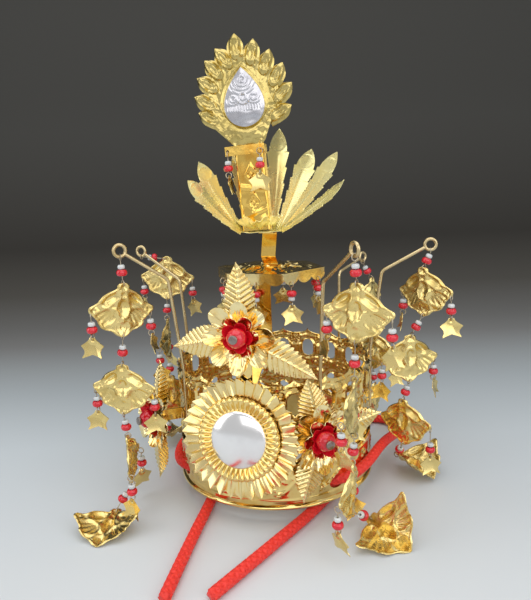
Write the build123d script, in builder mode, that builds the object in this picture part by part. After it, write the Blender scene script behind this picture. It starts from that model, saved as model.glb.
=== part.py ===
# Shrine maiden crown: a pierced brass ring, a sun disc, three flowers, a canopy with a jewel, strings of
# stamped plates on five hooks, and a red cord. Millimetres, +Z up, front toward -Y.
# The origin is on the surface that the crown stands on, under the middle of the ring.
import math
import os

from build123d import *

os.makedirs("parts", exist_ok=True)

# Sheet, wire and fit
sheet = 0.8
gap = 0.3
eye_wire_radius = 0.4
eye_radius = 2.2
hole_radius = 1.2

# Cord
cord_diameter = 8.0
cord_clearance = 0.5

# Ring
ring_radius = 78.0
rim_height = cord_diameter + gap
band_height = 35.0
wall_top = 107.0
rim_wire_radius = 1.4
cusp_count = 20
cusp_depth = 5.0
gap_columns = 20
arch_gap_width = 11.0
arch_gap_height = 16.0
leaf_gap_width = 9.0
leaf_gap_height = 6.0

# Sun disc
sun_height = 67.5
sun_tilt = 8.0
sun_standoff = 9.5
sun_outer_radius = 43.0
sun_inner_radius = 29.5
sun_mirror_radius = 20.5
sun_mirror_rise = 4.0
sun_points = 36
sun_pleat_height = 1.6
sun_step = 2.4

# Flowers
bead_radius = 7.0
bead_hole_radius = 1.1
pin_radius = 0.8
pin_head_radius = 3.0
petal_ring_radius = 20.0
petal_ring_depth = 8.0
petal_count = 8
red_petal_radius = 10.5
red_petal_depth = 3.5
leaf_width = 24.0
leaf_teeth = 13
leaf_fold = 12.0
bracket_width = 12.0
boss_depth = 2.2
leaf_notch = 0.12
flower_height = 65.0
right_standoff = 8.3
left_standoff = 20.0
crest_height = 140.0
crest_standoff = 3.6
crest_foot_height = 93.0
crest_tilt = 6.0
side_tilt = 4.0

# Canopy
canopy_height = 176.0
canopy_radius = 45.0
skirt_depth = 9.0
skirt_lobes = 3
canopy_strap_width = 12.0
strap_bend_depth = 48.0

# Jewel, its stem and the lotus leaves
lotus_height = canopy_height + 29.0
lotus_hub_radius = 18.0
lotus_hub_x = -6.0
lotus_leaf_width = 20.0
lotus_teeth = 5
lotus_notch = 0.15
stem_height = 66.0
stem_width = 22.0
stem_depth = 12.0
stem_x = -7.3
stem_lean = 3.5
band_depth = 7.0
jewel_azimuth = 8.0
jewel_radius = 36.0
jewel_petal_width = 11.5
jewel_petal_length = 20.0
stone_width = 31.0
stone_height = 43.0
stone_rise = 4.0

# Hooks
hook_wire_radius = 1.25
hook_eye_radius = 4.2
hook_foot_height = 60.0
hook_lower_bend = 30.0
hook_upper_bend = 6.0

# Stamped plates, stars and small beads
plate_width = 48.0
plate_height = 39.0
plate_fold = 12.0
star_width = 16.0
star_height = 13.5
drop_length = 20.0
shank_radius = 0.34
red_bead_radius = 3.6
red_bead_length = 4.6
white_bead_radius = 2.7
white_bead_length = 3.4
small_bead_hole = 0.7


# Directions and planes

def heading(azimuth):
    """Level direction at an azimuth in degrees from the front toward +X."""
    return Vector(math.sin(math.radians(azimuth)), -math.cos(math.radians(azimuth)), 0)


def around(radius, azimuth, height):
    """Point at a radius from the ring's axis."""
    return heading(azimuth) * radius + Vector(0, 0, height)


def turned(plane, y=0.0, z=0.0):
    """Copy of a plane, turned by degrees about its own y or z axis."""
    return Plane(plane.location * Location((0, 0, 0), (0, y, z)))


def facing(origin, azimuth, tilt=0.0, roll=0.0):
    """Upright plane whose normal points out at an azimuth, tilted up and rolled by degrees."""
    level = heading(azimuth) * math.cos(math.radians(tilt))
    normal = level + Vector(0, 0, math.sin(math.radians(tilt)))
    sideways = heading(azimuth + 90)
    return turned(Plane(origin=origin, x_dir=sideways, z_dir=normal), z=roll)


def along(origin, tip, up):
    """Plane whose y axis runs from its origin to a tip, with its normal near the direction up."""
    forward = (tip - origin).normalized()
    sideways = forward.cross(up).normalized()
    return Plane(origin=origin, x_dir=sideways, z_dir=sideways.cross(forward))


# Sheet pieces

def folded_sheet(plane, half_outline, fold, holes=()):
    """Two mirrored halves of sheet that meet at the plane's y axis, in a ridge or, below zero, a valley."""
    lap = sheet * math.tan(math.radians(abs(fold)))
    inner = [(-lap, half_outline[-1][1]), (-lap, half_outline[0][1])]
    with BuildPart() as folded:
        for side in (1, -1):
            with BuildSketch(turned(plane, y=side * fold)):
                with BuildLine():
                    Polyline(*[(side * x, y) for x, y in half_outline + inner], close=True)
                make_face()
                if holes:
                    with Locations(*[(side * x, y) for x, y in holes]):
                        Circle(hole_radius, mode=Mode.SUBTRACT)
            extrude(amount=sheet)
    return folded.part


def fern_outline(length, width, teeth, notch):
    """Half outline of a leaf with saw teeth, from its stalk to its tip."""
    points = [(width / 8, 0)]
    for tooth in range(teeth):
        share = (tooth + 0.8) / teeth
        swell = math.sin(math.pi * share ** 0.75) ** 0.8
        reach = width / 8 + (width / 2 - width / 8) * swell
        points.append((reach, share * length))
        points.append((reach * (1 - notch), share * length + 0.12 * length / teeth))
    return points[:-1] + [(0, length)]


def lobed_cup(plane, radius, depth, lobes, bore):
    """Shallow bowl of sheet with round lobes on its edge and a bore for the pin."""
    with BuildPart() as cup:
        with BuildSketch(Plane(plane.origin, x_dir=plane.x_dir, z_dir=-plane.y_dir)):
            with BuildLine():
                Polyline(
                    (bore, 0), (radius * 0.35, 0), (radius, depth), (radius, depth + sheet * 1.4),
                    (radius * 0.35, sheet), (bore, sheet), close=True,
                )
            make_face()
        revolve(axis=Axis(plane.origin, plane.z_dir))
        with BuildSketch(plane.offset(-sheet)):
            Circle(radius * 0.62)
            with PolarLocations(radius * 0.6, lobes):
                Circle(radius * 0.38)
        extrude(amount=depth + 4 * sheet, mode=Mode.INTERSECT)
    return cup.part


def strap(points, radius, width, side):
    """Flat strip bent along a path, its width along the direction side."""
    with BuildPart() as strip:
        with BuildLine() as path:
            FilletPolyline(*points, radius=radius)
        start = path.line @ 0
        with BuildSketch(Plane(origin=start, x_dir=side, z_dir=path.line % 0)):
            Rectangle(width, sheet)
        sweep(path=path.line)
    return strip.part


# Beads, wires and drops

def bead(center, direction, radius, length, bore):
    """Round bead with flat ends, drilled along its axis."""
    plane = Plane(origin=center, z_dir=direction)
    with BuildPart() as drilled:
        Sphere(radius)
        with BuildSketch():
            Circle(radius + 1)
        extrude(amount=length / 2, both=True, mode=Mode.INTERSECT)
        Hole(bore)
    return plane.location * drilled.part


def flat(direction, normal):
    """The part of a direction that lies across a normal, as a unit."""
    return (direction - normal * direction.dot(normal)).normalized()


def beaded_wire(top, bottom, top_axis, bottom_axis, lowest="red", lift=0.5):
    """Wire with a round eye at each end, given the middles and axes of the eyes, and two beads on it.

    The beads rest on the lower eye, or higher by a share of the wire that they leave free."""
    run = bottom - top
    start = top + flat(run, top_axis) * eye_radius
    end = bottom - flat(run, bottom_axis) * eye_radius
    line = (end - start).normalized()
    with BuildPart() as wire:
        with Locations(Plane(origin=top, z_dir=top_axis).location):
            Torus(eye_radius, eye_wire_radius)
        with Locations(Plane(origin=bottom, z_dir=bottom_axis).location):
            Torus(eye_radius, eye_wire_radius)
        with BuildSketch(Plane(origin=start, z_dir=line)):
            Circle(shank_radius)
        extrude(amount=(end - start).length)
    sizes = [(red_bead_radius, red_bead_length), (white_bead_radius, white_bead_length)]
    if lowest == "white":
        sizes.reverse()
    stack = red_bead_length + white_bead_length + 1.5 * gap
    free = (end - start).length - 2 * eye_wire_radius - stack
    spot = end - line * (eye_wire_radius + gap / 2 + lift * free)
    beads = []
    for radius, length in sizes:
        beads.append(bead(spot - line * length / 2, line, radius, length, small_bead_hole))
        spot = spot - line * (length + gap / 2)
    return wire.part, beads


def link(upper, lower, upper_normal, lower_normal, lowest="red", lift=0.5, lower_way=None):
    """Beaded wire between two holes, given the directions in which its eyes pass through them."""
    run = lower - upper
    top_way = flat(run, upper_normal)
    bottom_way = flat(run, lower_normal) if lower_way is None else lower_way
    return beaded_wire(
        upper + top_way * eye_radius, lower - bottom_way * eye_radius,
        top_way.cross(upper_normal), bottom_way.cross(lower_normal), lowest, lift,
    )


def star(hole, azimuth):
    """Small flat star of four points with hollow sides that hangs from its hole."""
    margin = hole_radius + sheet
    half_outline = [
        (0.10, 0.0), (0.17, 0.28), (0.50, 0.46), (0.47, 0.60), (0.22, 0.66), (0.09, 0.98), (0.0, 1.0),
    ]
    side_points = [(star_width * x, margin - star_height * y) for x, y in half_outline]
    with BuildPart() as cut:
        with BuildSketch(facing(hole, azimuth)):
            with BuildLine():
                Polyline(*side_points, *[(-x, y) for x, y in reversed(side_points[:-1])], close=True)
            make_face()
            Circle(hole_radius, mode=Mode.SUBTRACT)
        extrude(amount=sheet / 2, both=True)
    return cut.part


def gather(name, pieces):
    """One node of loose solids."""
    with BuildPart() as node:
        add(pieces)
    write(node.part, name)
    return node.part


def write(piece, name):
    """Label a piece and write its file."""
    piece.label = name
    export_step(piece, "parts/" + name + ".step")


# The cord: two ends, each laid from the free end at the front, under the rim, through the ring, under the
# rim at the back, up beside the wall and in through a hole at the front, where a knot holds it. Each row has
# a point's distance outside the wall, its azimuth and its height.
floor_level = cord_diameter / 2 + 0.05
cord_rows = {
    "right": [
        (88.1, 2.1, floor_level), (38.2, 13.4, floor_level), (-2.8, 40.7, floor_level),
        (-17.5, 82.4, floor_level), (-12.8, 125.6, floor_level), (12.8, 151.7, floor_level),
        (39.2, 154.7, floor_level), (58.9, 148.7, floor_level), (65.1, 138.4, 6), (53.5, 129.1, 9),
        (30.3, 118.7, 17), (10.8, 97.8, 26), (6.4, 71.4, 25), (4.2, 53.4, 23), (-10.1, 42.6, 20),
    ],
    "left": [
        (98.1, -6.5, floor_level), (45.2, -13.1, floor_level), (-6.4, -28.4, floor_level),
        (-32.4, -74.7, floor_level), (-21.9, -129.9, floor_level), (8.3, -153.1, floor_level),
        (35.2, -155.5, floor_level), (55.6, -149.4, floor_level), (62.4, -139.0, 5), (52.7, -129.4, 8),
        (28.6, -119.2, 13), (11.9, -100.2, 17), (7.4, -71.6, 20), (4.0, -52.4, 20), (-11.4, -41.3, 18),
    ],
}


def corner_radii(points):
    """Radius of the arc at each corner, as large as its two runs allow."""
    radii = []
    for before, here, after in zip(points, points[1:], points[2:]):
        first = here - before
        second = after - here
        half_turn = math.radians(first.get_angle(second)) / 2
        radii.append(0.45 * min(first.length, second.length) / math.tan(half_turn))
    return radii


def cord_tube(points, radius):
    """Round tube along the cord's route."""
    with BuildPart() as tube:
        with BuildLine() as path:
            FilletPolyline(*points, radius=corner_radii(points))
        with BuildSketch(Plane(origin=path.line @ 0, z_dir=path.line % 0)):
            Circle(radius)
        sweep(path=path.line)
    return tube.part, path.wire().length


cord_slots = []
for side, rows in cord_rows.items():
    route = [around(ring_radius + outside, azimuth, height) for outside, azimuth, height in rows]
    tube, tube_length = cord_tube(route, cord_diameter / 2)
    ideal = math.pi * (cord_diameter / 2) ** 2 * tube_length
    print("cord", side, "length", round(tube_length), "volume share", round(tube.volume / ideal, 4))
    print("radii", [round(radius) for radius in corner_radii(route)])
    write(tube, "cord_" + side)
    slot_tube, slot_length = cord_tube(route[-4:], cord_diameter / 2 + cord_clearance)
    cord_slots.append(slot_tube)
    inner_end = route[-1]
    inward = (inner_end - route[-2]).normalized()
    with BuildPart(Plane(origin=inner_end + inward * cord_diameter * 0.72, z_dir=inward)) as knot:
        Sphere(cord_diameter * 0.75)
        with BuildSketch(Plane(origin=inner_end, z_dir=-inward)):
            Circle(cord_diameter)
        extrude(amount=cord_diameter, mode=Mode.SUBTRACT)
    write(knot.part, "knot_" + side)

# Ring: a plain band with a rolled rim outside a pierced wall with a cusped top edge
band_radius = ring_radius + gap + sheet
with BuildPart() as base_band:
    with BuildSketch(Plane.XY.offset(rim_height)):
        Circle(band_radius)
        Circle(band_radius - sheet, mode=Mode.SUBTRACT)
    extrude(amount=band_height)
    with Locations((0, 0, rim_height + rim_wire_radius)):
        Torus(band_radius + rim_wire_radius - sheet, rim_wire_radius)
    with Locations((0, 0, rim_height + band_height)):
        Torus(band_radius, sheet)
    with BuildSketch(Plane.XY.offset(rim_height - sheet)):
        Circle(band_radius - sheet)
    extrude(amount=band_height + 3 * sheet, mode=Mode.SUBTRACT)
    add(cord_slots, mode=Mode.SUBTRACT)
write(base_band.part, "base_band")

column_step = 360 / gap_columns
arch_gap_level = wall_top - cusp_depth - arch_gap_height - 6
leaf_gap_level = rim_height + band_height + leaf_gap_height
with BuildPart() as pierced_wall:
    with BuildSketch(Plane.XY.offset(rim_height + gap)):
        Circle(ring_radius)
        Circle(ring_radius - sheet, mode=Mode.SUBTRACT)
    extrude(amount=wall_top - rim_height - gap)
    columns = [
        facing(around(ring_radius * 0.9, (column + 0.5) * column_step, 0), (column + 0.5) * column_step)
        for column in range(gap_columns)
    ]
    with BuildSketch(*columns):
        with Locations((0, arch_gap_level)):
            SlotOverall(arch_gap_height, arch_gap_width, rotation=90)
        with Locations((0, leaf_gap_level)):
            Ellipse(leaf_gap_width / 2, leaf_gap_height / 2, rotation=30)
        with Locations((0, leaf_gap_level + 2.2 * leaf_gap_height)):
            Ellipse(leaf_gap_width / 2, leaf_gap_height / 2, rotation=-30)
    extrude(amount=ring_radius * 0.2, mode=Mode.SUBTRACT)
    cusps = [
        facing(around(ring_radius * 0.9, cusp * 360 / cusp_count, wall_top), cusp * 360 / cusp_count)
        for cusp in range(cusp_count)
    ]
    with BuildSketch(*cusps):
        Ellipse(math.pi * ring_radius / cusp_count / 2, cusp_depth)
    extrude(amount=ring_radius * 0.2, mode=Mode.SUBTRACT)
    add(cord_slots, mode=Mode.SUBTRACT)
write(pierced_wall.part, "pierced_wall")

# Sun disc: an outer ring of pleats, an inner ring and a domed mirror on one pin from the wall
sun_center = Vector(0, -(ring_radius + sun_standoff), sun_height)
sun_plane = facing(sun_center, 0, sun_tilt)


def pleated_disc(plane, outer, inner, points, pleat):
    """Disc with a pointed edge and a raised pleat on each point."""
    with BuildPart() as disc:
        with BuildSketch(plane):
            with BuildLine():
                Polyline(
                    *[
                        (
                            (outer if step % 2 == 0 else outer * 0.94) * math.cos(math.pi * step / points),
                            (outer if step % 2 == 0 else outer * 0.94) * math.sin(math.pi * step / points),
                        )
                        for step in range(2 * points)
                    ],
                    close=True,
                )
            make_face()
            Circle(pin_radius + gap, mode=Mode.SUBTRACT)
        extrude(amount=sheet)
        half_width = math.pi * inner / points * 0.8
        ridges = []
        for step in range(points):
            ray = turned(plane, z=360 * step / points)
            base = ray.from_local_coords((inner, 0, 0))
            ridges.append(Plane(origin=base, x_dir=ray.y_dir, z_dir=ray.x_dir))
        with BuildSketch(*ridges):
            with BuildLine():
                Polyline((-half_width, sheet / 2), (half_width, sheet / 2), (0, sheet + pleat), close=True)
            make_face()
        extrude(amount=outer * 0.93 - inner)
    return disc.part


outer_rays = pleated_disc(sun_plane, sun_outer_radius, sun_inner_radius, sun_points, sun_pleat_height)
inner_rays = pleated_disc(
    sun_plane.offset(sun_step), sun_inner_radius, sun_mirror_radius, sun_points, sun_pleat_height
)
mirror_level = sun_step + sheet + gap
with BuildPart() as sun_rays_outer:
    add(outer_rays)
    with BuildSketch(sun_plane.offset(sheet / 2)):
        Circle(pin_radius)
    extrude(amount=mirror_level - gap - sheet / 2)
    with BuildSketch(sun_plane.offset(-sun_standoff + gap + sheet)):
        Circle(4 * pin_radius)
    extrude(amount=sun_standoff - gap)
    with BuildSketch(Plane.XY):
        Circle(ring_radius + gap)
    extrude(amount=wall_top, mode=Mode.SUBTRACT)
write(sun_rays_outer.part, "sun_rays_outer")
write(inner_rays, "sun_rays_inner")

with BuildPart() as sun_mirror:
    dome_radius = (sun_mirror_radius ** 2 + sun_mirror_rise ** 2) / (2 * sun_mirror_rise)
    with Locations(sun_plane.offset(mirror_level + sheet + sun_mirror_rise - dome_radius).location):
        Sphere(dome_radius)
    with BuildSketch(sun_plane.offset(mirror_level)):
        Circle(sun_mirror_radius)
    extrude(amount=sun_mirror_rise + 2 * sheet, mode=Mode.INTERSECT)
write(sun_mirror.part, "sun_mirror")


# Flowers: three fern leaves, a cup of petals, red petals and a bead on a pin that a bracket carries

def flower(name, hub, leaf_angles, leaf_lengths, bracket):
    """Write the five pieces of a flower whose leaves lie at the plane hub."""
    hub_radius = bead_radius
    bore = pin_radius + gap
    with BuildPart() as leaves:
        with BuildSketch(hub):
            Circle(hub_radius)
        extrude(amount=sheet)
        for angle, length in zip(leaf_angles, leaf_lengths):
            outline = fern_outline(length, leaf_width, leaf_teeth, leaf_notch)
            add(folded_sheet(turned(hub, z=angle - 90), outline, leaf_fold))
        with BuildSketch(hub.offset(-leaf_width / 2)):
            Circle(bore)
        extrude(amount=leaf_width, mode=Mode.SUBTRACT)
        with BuildSketch(hub):
            Circle(hub_radius)
        extrude(amount=-leaf_width / 2, mode=Mode.SUBTRACT)
    write(leaves.part, name + "_leaves")
    petals_level = sheet + gap
    red_level = petals_level + sheet + gap
    bead_level = red_level + sheet + gap + bead_radius
    write(lobed_cup(hub.offset(petals_level), petal_ring_radius, petal_ring_depth, petal_count, bore),
          name + "_petals")
    write(lobed_cup(hub.offset(red_level), red_petal_radius, red_petal_depth, 5, bore),
          name + "_red_petals")
    bead_center = hub.offset(bead_level).origin
    write(bead(bead_center, hub.z_dir, bead_radius, 1.96 * bead_radius, bead_hole_radius), name + "_bead")
    pin_length = bead_level + bead_radius + gap
    with BuildPart() as carrier:
        add(bracket)
        with BuildSketch(hub.offset(-gap)):
            Circle(hub_radius * 0.8)
        extrude(amount=-boss_depth)
        with BuildSketch(hub.offset(-gap - sheet)):
            Circle(pin_radius)
        extrude(amount=pin_length + gap + sheet)
        with BuildSketch(hub.offset(pin_length)):
            Circle(pin_head_radius)
        extrude(amount=sheet, taper=30)
    write(carrier.part, name + "_bracket")


def side_bracket(hub, azimuth, height, turn):
    """Strip on edge that runs from a foot on the wall out to the boss behind a flower."""
    foot = around(ring_radius + gap + sheet / 2, azimuth, height)
    back = hub.offset(-gap - boss_depth / 2).origin
    corner = foot + heading(azimuth + 90) * turn * sheet
    toe = foot + heading(azimuth + 90) * turn * bracket_width
    return strap([toe, corner, back], sheet, bracket_width * 0.8, Vector(0, 0, 1))


# Each flower has the angles of its leaves from its own right, turning up, and their lengths
crest_leaf_angles = (92, 190, -28)
crest_leaf_lengths = (51, 52, 60)
right_leaf_angles = (100, 253, 12)
right_leaf_lengths = (44, 50, 50)
left_leaf_angles = (88, 268, 178)
left_leaf_lengths = (46, 52, 46)

crest_x = 2.0
crest_hub = facing(Vector(crest_x, -(ring_radius + crest_standoff), crest_height), crest_x, crest_tilt)
with BuildPart() as crest_plate:
    with BuildSketch(Plane(origin=(crest_x, -(ring_radius + gap), 0), x_dir=(1, 0, 0), z_dir=(0, -1, 0))):
        with Locations((0, (crest_foot_height + crest_height + bead_radius) / 2)):
            Rectangle(bracket_width, crest_height + bead_radius - crest_foot_height)
    extrude(amount=sheet)
flower("crest", crest_hub, crest_leaf_angles, crest_leaf_lengths, crest_plate.part)

right_hub = facing(around(ring_radius + right_standoff, 38, flower_height), 34, side_tilt)
right_bracket = side_bracket(right_hub, 37, flower_height + 1, -1)
flower("right", right_hub, right_leaf_angles, right_leaf_lengths, right_bracket)

left_hub = facing(around(ring_radius + left_standoff, -52, flower_height + 1), -34, side_tilt)
left_bracket = side_bracket(left_hub, -56, flower_height - 1, 1)
flower("left", left_hub, left_leaf_angles, left_leaf_lengths, left_bracket)

# Canopy: a hexagonal plate with a scalloped skirt, on a strap from inside the wall
canopy_plane = Plane.XY.offset(canopy_height)
side_middle = canopy_radius * math.cos(math.radians(30))
lobe_step = canopy_radius / skirt_lobes
with BuildPart() as canopy_plate:
    with BuildSketch(canopy_plane):
        RegularPolygon(canopy_radius, 6)
    extrude(amount=sheet)
    for side_index in range(6):
        edge = facing(around(side_middle - sheet, side_index * 60, canopy_height), side_index * 60)
        with BuildSketch(edge):
            with Locations((0, -skirt_depth * 0.25 + sheet / 2)):
                Rectangle(canopy_radius - sheet, skirt_depth * 0.5 + sheet)
            with GridLocations(lobe_step, 0, skirt_lobes, 1):
                with Locations((0, -skirt_depth * 0.4)):
                    Ellipse(lobe_step * 0.47, skirt_depth * 0.6)
            with GridLocations(lobe_step, 0, skirt_lobes, 1):
                with Locations((0, -skirt_depth * 0.65)):
                    Circle(hole_radius, mode=Mode.SUBTRACT)
        extrude(amount=sheet)
    with BuildSketch(canopy_plane.offset(sheet)):
        Rectangle(2.2 * canopy_radius, 2.2 * canopy_radius)
    extrude(amount=skirt_depth, mode=Mode.SUBTRACT)
write(canopy_plate.part, "canopy_plate")

strap_x = 4.0
strap_y = -(side_middle - 5.6)
strap_top = canopy_height - gap - sheet / 2
wall_inside = -(ring_radius - sheet - 2 * gap - sheet)
canopy_strap_points = [
    Vector(strap_x, strap_y + canopy_strap_width, strap_top),
    Vector(strap_x, strap_y, strap_top),
    Vector(strap_x, strap_y, canopy_height - strap_bend_depth),
    Vector(strap_x, wall_inside, wall_top - 4),
    Vector(strap_x, wall_inside, wall_top - 24),
]
canopy_strap = strap(canopy_strap_points, 3, canopy_strap_width, Vector(1, 0, 0))
write(canopy_strap, "canopy_strap")

# Canopy drops, each named by its side and its lobe
star_turn = 50
canopy_drops = [(0, 0), (0, 1), (1, 0), (1, 2), (2, 1), (3, 1), (4, 1), (5, 1), (5, 2)]
canopy_wires = []
canopy_beads = []
canopy_stars = []
for side_index, lobe in canopy_drops:
    azimuth = side_index * 60
    edge = facing(around(side_middle - sheet / 2, azimuth, canopy_height), azimuth)
    hole = edge.from_local_coords(((lobe - 1) * lobe_step, -skirt_depth * 0.65, 0))
    end = hole - Vector(0, 0, drop_length)
    star_azimuth = azimuth + star_turn * (lobe - 1) + 20
    wire, beads = link(hole, end, heading(azimuth), heading(star_azimuth), "white", 0.0)
    canopy_wires.append(wire)
    canopy_beads += beads
    canopy_stars.append(star(end, star_azimuth))
gather("canopy_wires", canopy_wires)
gather("canopy_beads", canopy_beads)
gather("canopy_stars", canopy_stars)

# Jewel strap, lotus leaves, stem, band, frame and stone
hub_level = lotus_height + gap + sheet
strap_base = canopy_height + sheet + gap + sheet / 2
jewel_strap = strap(
    [
        Vector(0, -9, strap_base),
        Vector(0, 5, strap_base),
        Vector(0, -3, strap_base + 8),
        Vector(0, 1, lotus_height - 9),
        Vector(0, 4, lotus_height - sheet / 2),
        Vector(0, -7, lotus_height - sheet / 2),
    ],
    1.6, canopy_strap_width, Vector(1, 0, 0))
write(jewel_strap, "jewel_strap")

# Each lotus leaf has its tip, as x, y and the rise above the strap, and the azimuth that it faces
leaf_tips = [
    (3.2, 32.5, 82, 5), (29.3, 35.4, 64.5, -5), (53.1, 22.0, 59.5, -35), (61.0, 3.5, 37.5, -70),
    (-53.0, -32.4, 42, 80), (-54.4, -6.7, 56.5, 57), (-29.6, 20.0, 70.7, 38),
]
hub_center = Vector(lotus_hub_x, 0, lotus_height + gap)
with BuildPart() as lotus_leaves:
    with BuildSketch(Plane(origin=hub_center)):
        Circle(lotus_hub_radius)
    extrude(amount=sheet)
    for x, y, rise, azimuth in leaf_tips:
        outward = Vector(x - lotus_hub_x, y, 0).normalized()
        stalk = hub_center + outward * (lotus_hub_radius - sheet)
        tip = Vector(x, y, lotus_height + rise)
        outline = fern_outline((tip - stalk).length, lotus_leaf_width, lotus_teeth, lotus_notch)
        add(folded_sheet(along(stalk, tip, heading(azimuth)), outline, leaf_fold))
write(lotus_leaves.part, "lotus_leaves")

stem_base = Vector(stem_x, -4, hub_level + gap)
stem_top = stem_base + Vector(-stem_height * math.tan(math.radians(stem_lean)), 0, stem_height)
stem_plane = Plane(origin=stem_base, x_dir=Vector(1, 0, 0), z_dir=stem_top - stem_base)
with BuildPart() as jewel_stem:
    with BuildSketch(turned(stem_plane, z=jewel_azimuth)):
        Rectangle(stem_width, stem_depth)
        with Locations((0, sheet)):
            Rectangle(stem_width - 2 * sheet, stem_depth, mode=Mode.SUBTRACT)
    extrude(amount=stem_height)
    with BuildSketch(Plane.XY.offset(hub_level + gap)):
        Circle(2 * lotus_hub_radius)
    extrude(amount=-stem_depth, mode=Mode.SUBTRACT)
write(jewel_stem.part, "jewel_stem")

band_plane = turned(stem_plane.offset(stem_height - band_depth), z=jewel_azimuth)
ear_reach = hole_radius + sheet
lug_reach = 6.0
band_front = -(stem_depth / 2 + gap + sheet / 2)
left_ear_x = -(stem_width / 2 + ear_reach + red_bead_radius)
right_ear_x = stem_width / 2 - ear_reach
stem_ears = [
    band_plane.from_local_coords((left_ear_x, band_front, band_depth / 2)),
    band_plane.from_local_coords((right_ear_x, band_front - lug_reach + ear_reach, band_depth / 2)),
]
with BuildPart() as jewel_band:
    with BuildSketch(band_plane):
        Rectangle(stem_width + 2 * gap + 2 * sheet, stem_depth + 2 * gap + 2 * sheet)
        Rectangle(stem_width + 2 * gap, stem_depth + 2 * gap, mode=Mode.SUBTRACT)
        with Locations((left_ear_x / 2 - ear_reach / 2, band_front)):
            Rectangle(abs(left_ear_x) + ear_reach, sheet)
        with Locations((right_ear_x, band_front - lug_reach / 2)):
            Rectangle(sheet, lug_reach)
    extrude(amount=band_depth)
    for spot, hole_normal in zip(stem_ears, (band_plane.y_dir, band_plane.x_dir)):
        with BuildSketch(Plane(origin=spot, z_dir=hole_normal)):
            Circle(hole_radius)
        extrude(amount=sheet, both=True, mode=Mode.SUBTRACT)
write(jewel_band.part, "jewel_band")

frame_foot = jewel_radius * 1.04
frame_plane = turned(stem_plane, z=jewel_azimuth)
frame_center = frame_plane.from_local_coords((0, -stem_depth / 2 + 2 * sheet + gap, stem_height + frame_foot))
jewel_plane = Plane(origin=frame_center, x_dir=frame_plane.x_dir, z_dir=-frame_plane.y_dir)

# Each petal has the place of its tip from the jewel's middle and the lean of its axis from the jewel's top
petal_rows = [
    (-2.7, 43.4, 2), (11.2, 37.8, 13), (22.6, 29.1, 22), (31.6, 18.5, 32), (37.2, 3.7, 50),
    (35.5, -12.2, 65), (-18.3, 34.8, -35), (-27.2, 27.3, -40), (-34.5, 15.6, -52), (-38.0, 2.4, -56),
    (-36.2, -9.6, -60),
]


def teardrop(width, height):
    """Sketch with a round bottom about its origin, full sides and a pointed top."""
    radius = width / 2
    top = height - radius
    with BuildSketch() as drop:
        with BuildLine():
            ThreePointArc((-radius, 0), (0, -radius), (radius, 0))
            ThreePointArc((radius, 0), (radius * 0.7, top * 0.53), (0, top))
            ThreePointArc((0, top), (-radius * 0.7, top * 0.53), (-radius, 0))
        make_face()
    return drop.sketch


stone_outline = teardrop(stone_width, stone_height)
setting_inside = teardrop(stone_width + 2 * gap, stone_height + 2 * gap)
setting_outside = teardrop(stone_width + 2 * gap + 4 * sheet, stone_height + 2 * gap + 5 * sheet)
stone_drop = 8.4
neck_left = 27.0
neck_right = 19.5
neck_height = 23.0
neck_foot = 13.5
tang_length = band_depth * 2
tang_width = stem_width - 2 * sheet - 4 * gap
stone_origin = jewel_plane.from_local_coords((0, -stone_drop, 0))
stone_plane = Plane(origin=stone_origin, x_dir=jewel_plane.x_dir, z_dir=jewel_plane.z_dir)
with BuildPart() as jewel_frame:
    with BuildSketch(jewel_plane):
        Circle(jewel_radius * 0.72)
        for tip_x, tip_y, lean in petal_rows:
            half = jewel_petal_width / 2
            with Locations(Location((tip_x, tip_y, 0), (0, 0, -lean))):
                Polygon(
                    (0, 0), (-half * 0.72, -jewel_petal_length * 0.18), (-half, -jewel_petal_length * 0.4),
                    (-half * 0.6, -jewel_petal_length), (half * 0.6, -jewel_petal_length),
                    (half, -jewel_petal_length * 0.4), (half * 0.72, -jewel_petal_length * 0.18), align=None,
                )
        Polygon(
            (-jewel_radius * 0.67, -jewel_radius * 0.4), (-neck_left, -neck_height),
            (-neck_foot, 2 - frame_foot), (-tang_width / 2, -frame_foot),
            (-tang_width / 2, -frame_foot - tang_length), (tang_width / 2, -frame_foot - tang_length),
            (tang_width / 2, -frame_foot), (neck_foot, 2 - frame_foot), (neck_right, -neck_height),
            (jewel_radius * 0.61, -jewel_radius * 0.4), align=None,
        )
    extrude(amount=sheet)
    with BuildSketch(stone_plane):
        add(setting_outside)
        add(setting_inside, mode=Mode.SUBTRACT)
    extrude(amount=2.5 * sheet)
write(jewel_frame.part, "jewel_frame")

with BuildPart() as jewel_stone:
    with BuildSketch(stone_plane.offset(sheet + gap)):
        add(stone_outline)
    extrude(amount=sheet)
    with BuildSketch(stone_plane.offset(2 * sheet + gap)):
        add(stone_outline)
    extrude(amount=stone_rise - sheet, taper=60)
write(jewel_stone.part, "jewel_stone")

# Drops on the jewel's stem
stem_wires = []
stem_beads = []
stem_stars = []
for hole, hole_normal, star_azimuth in (
    (stem_ears[0], band_plane.y_dir, 95), (stem_ears[1], band_plane.x_dir, jewel_azimuth),
):
    end = hole - Vector(0, 0, drop_length)
    wire, beads = link(hole, end, hole_normal, heading(star_azimuth), lift=0.0)
    stem_wires.append(wire)
    stem_beads += beads
    stem_stars.append(star(end, star_azimuth))
gather("stem_wires", stem_wires)
gather("stem_beads", stem_beads)
gather("stem_stars", stem_stars)

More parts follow.
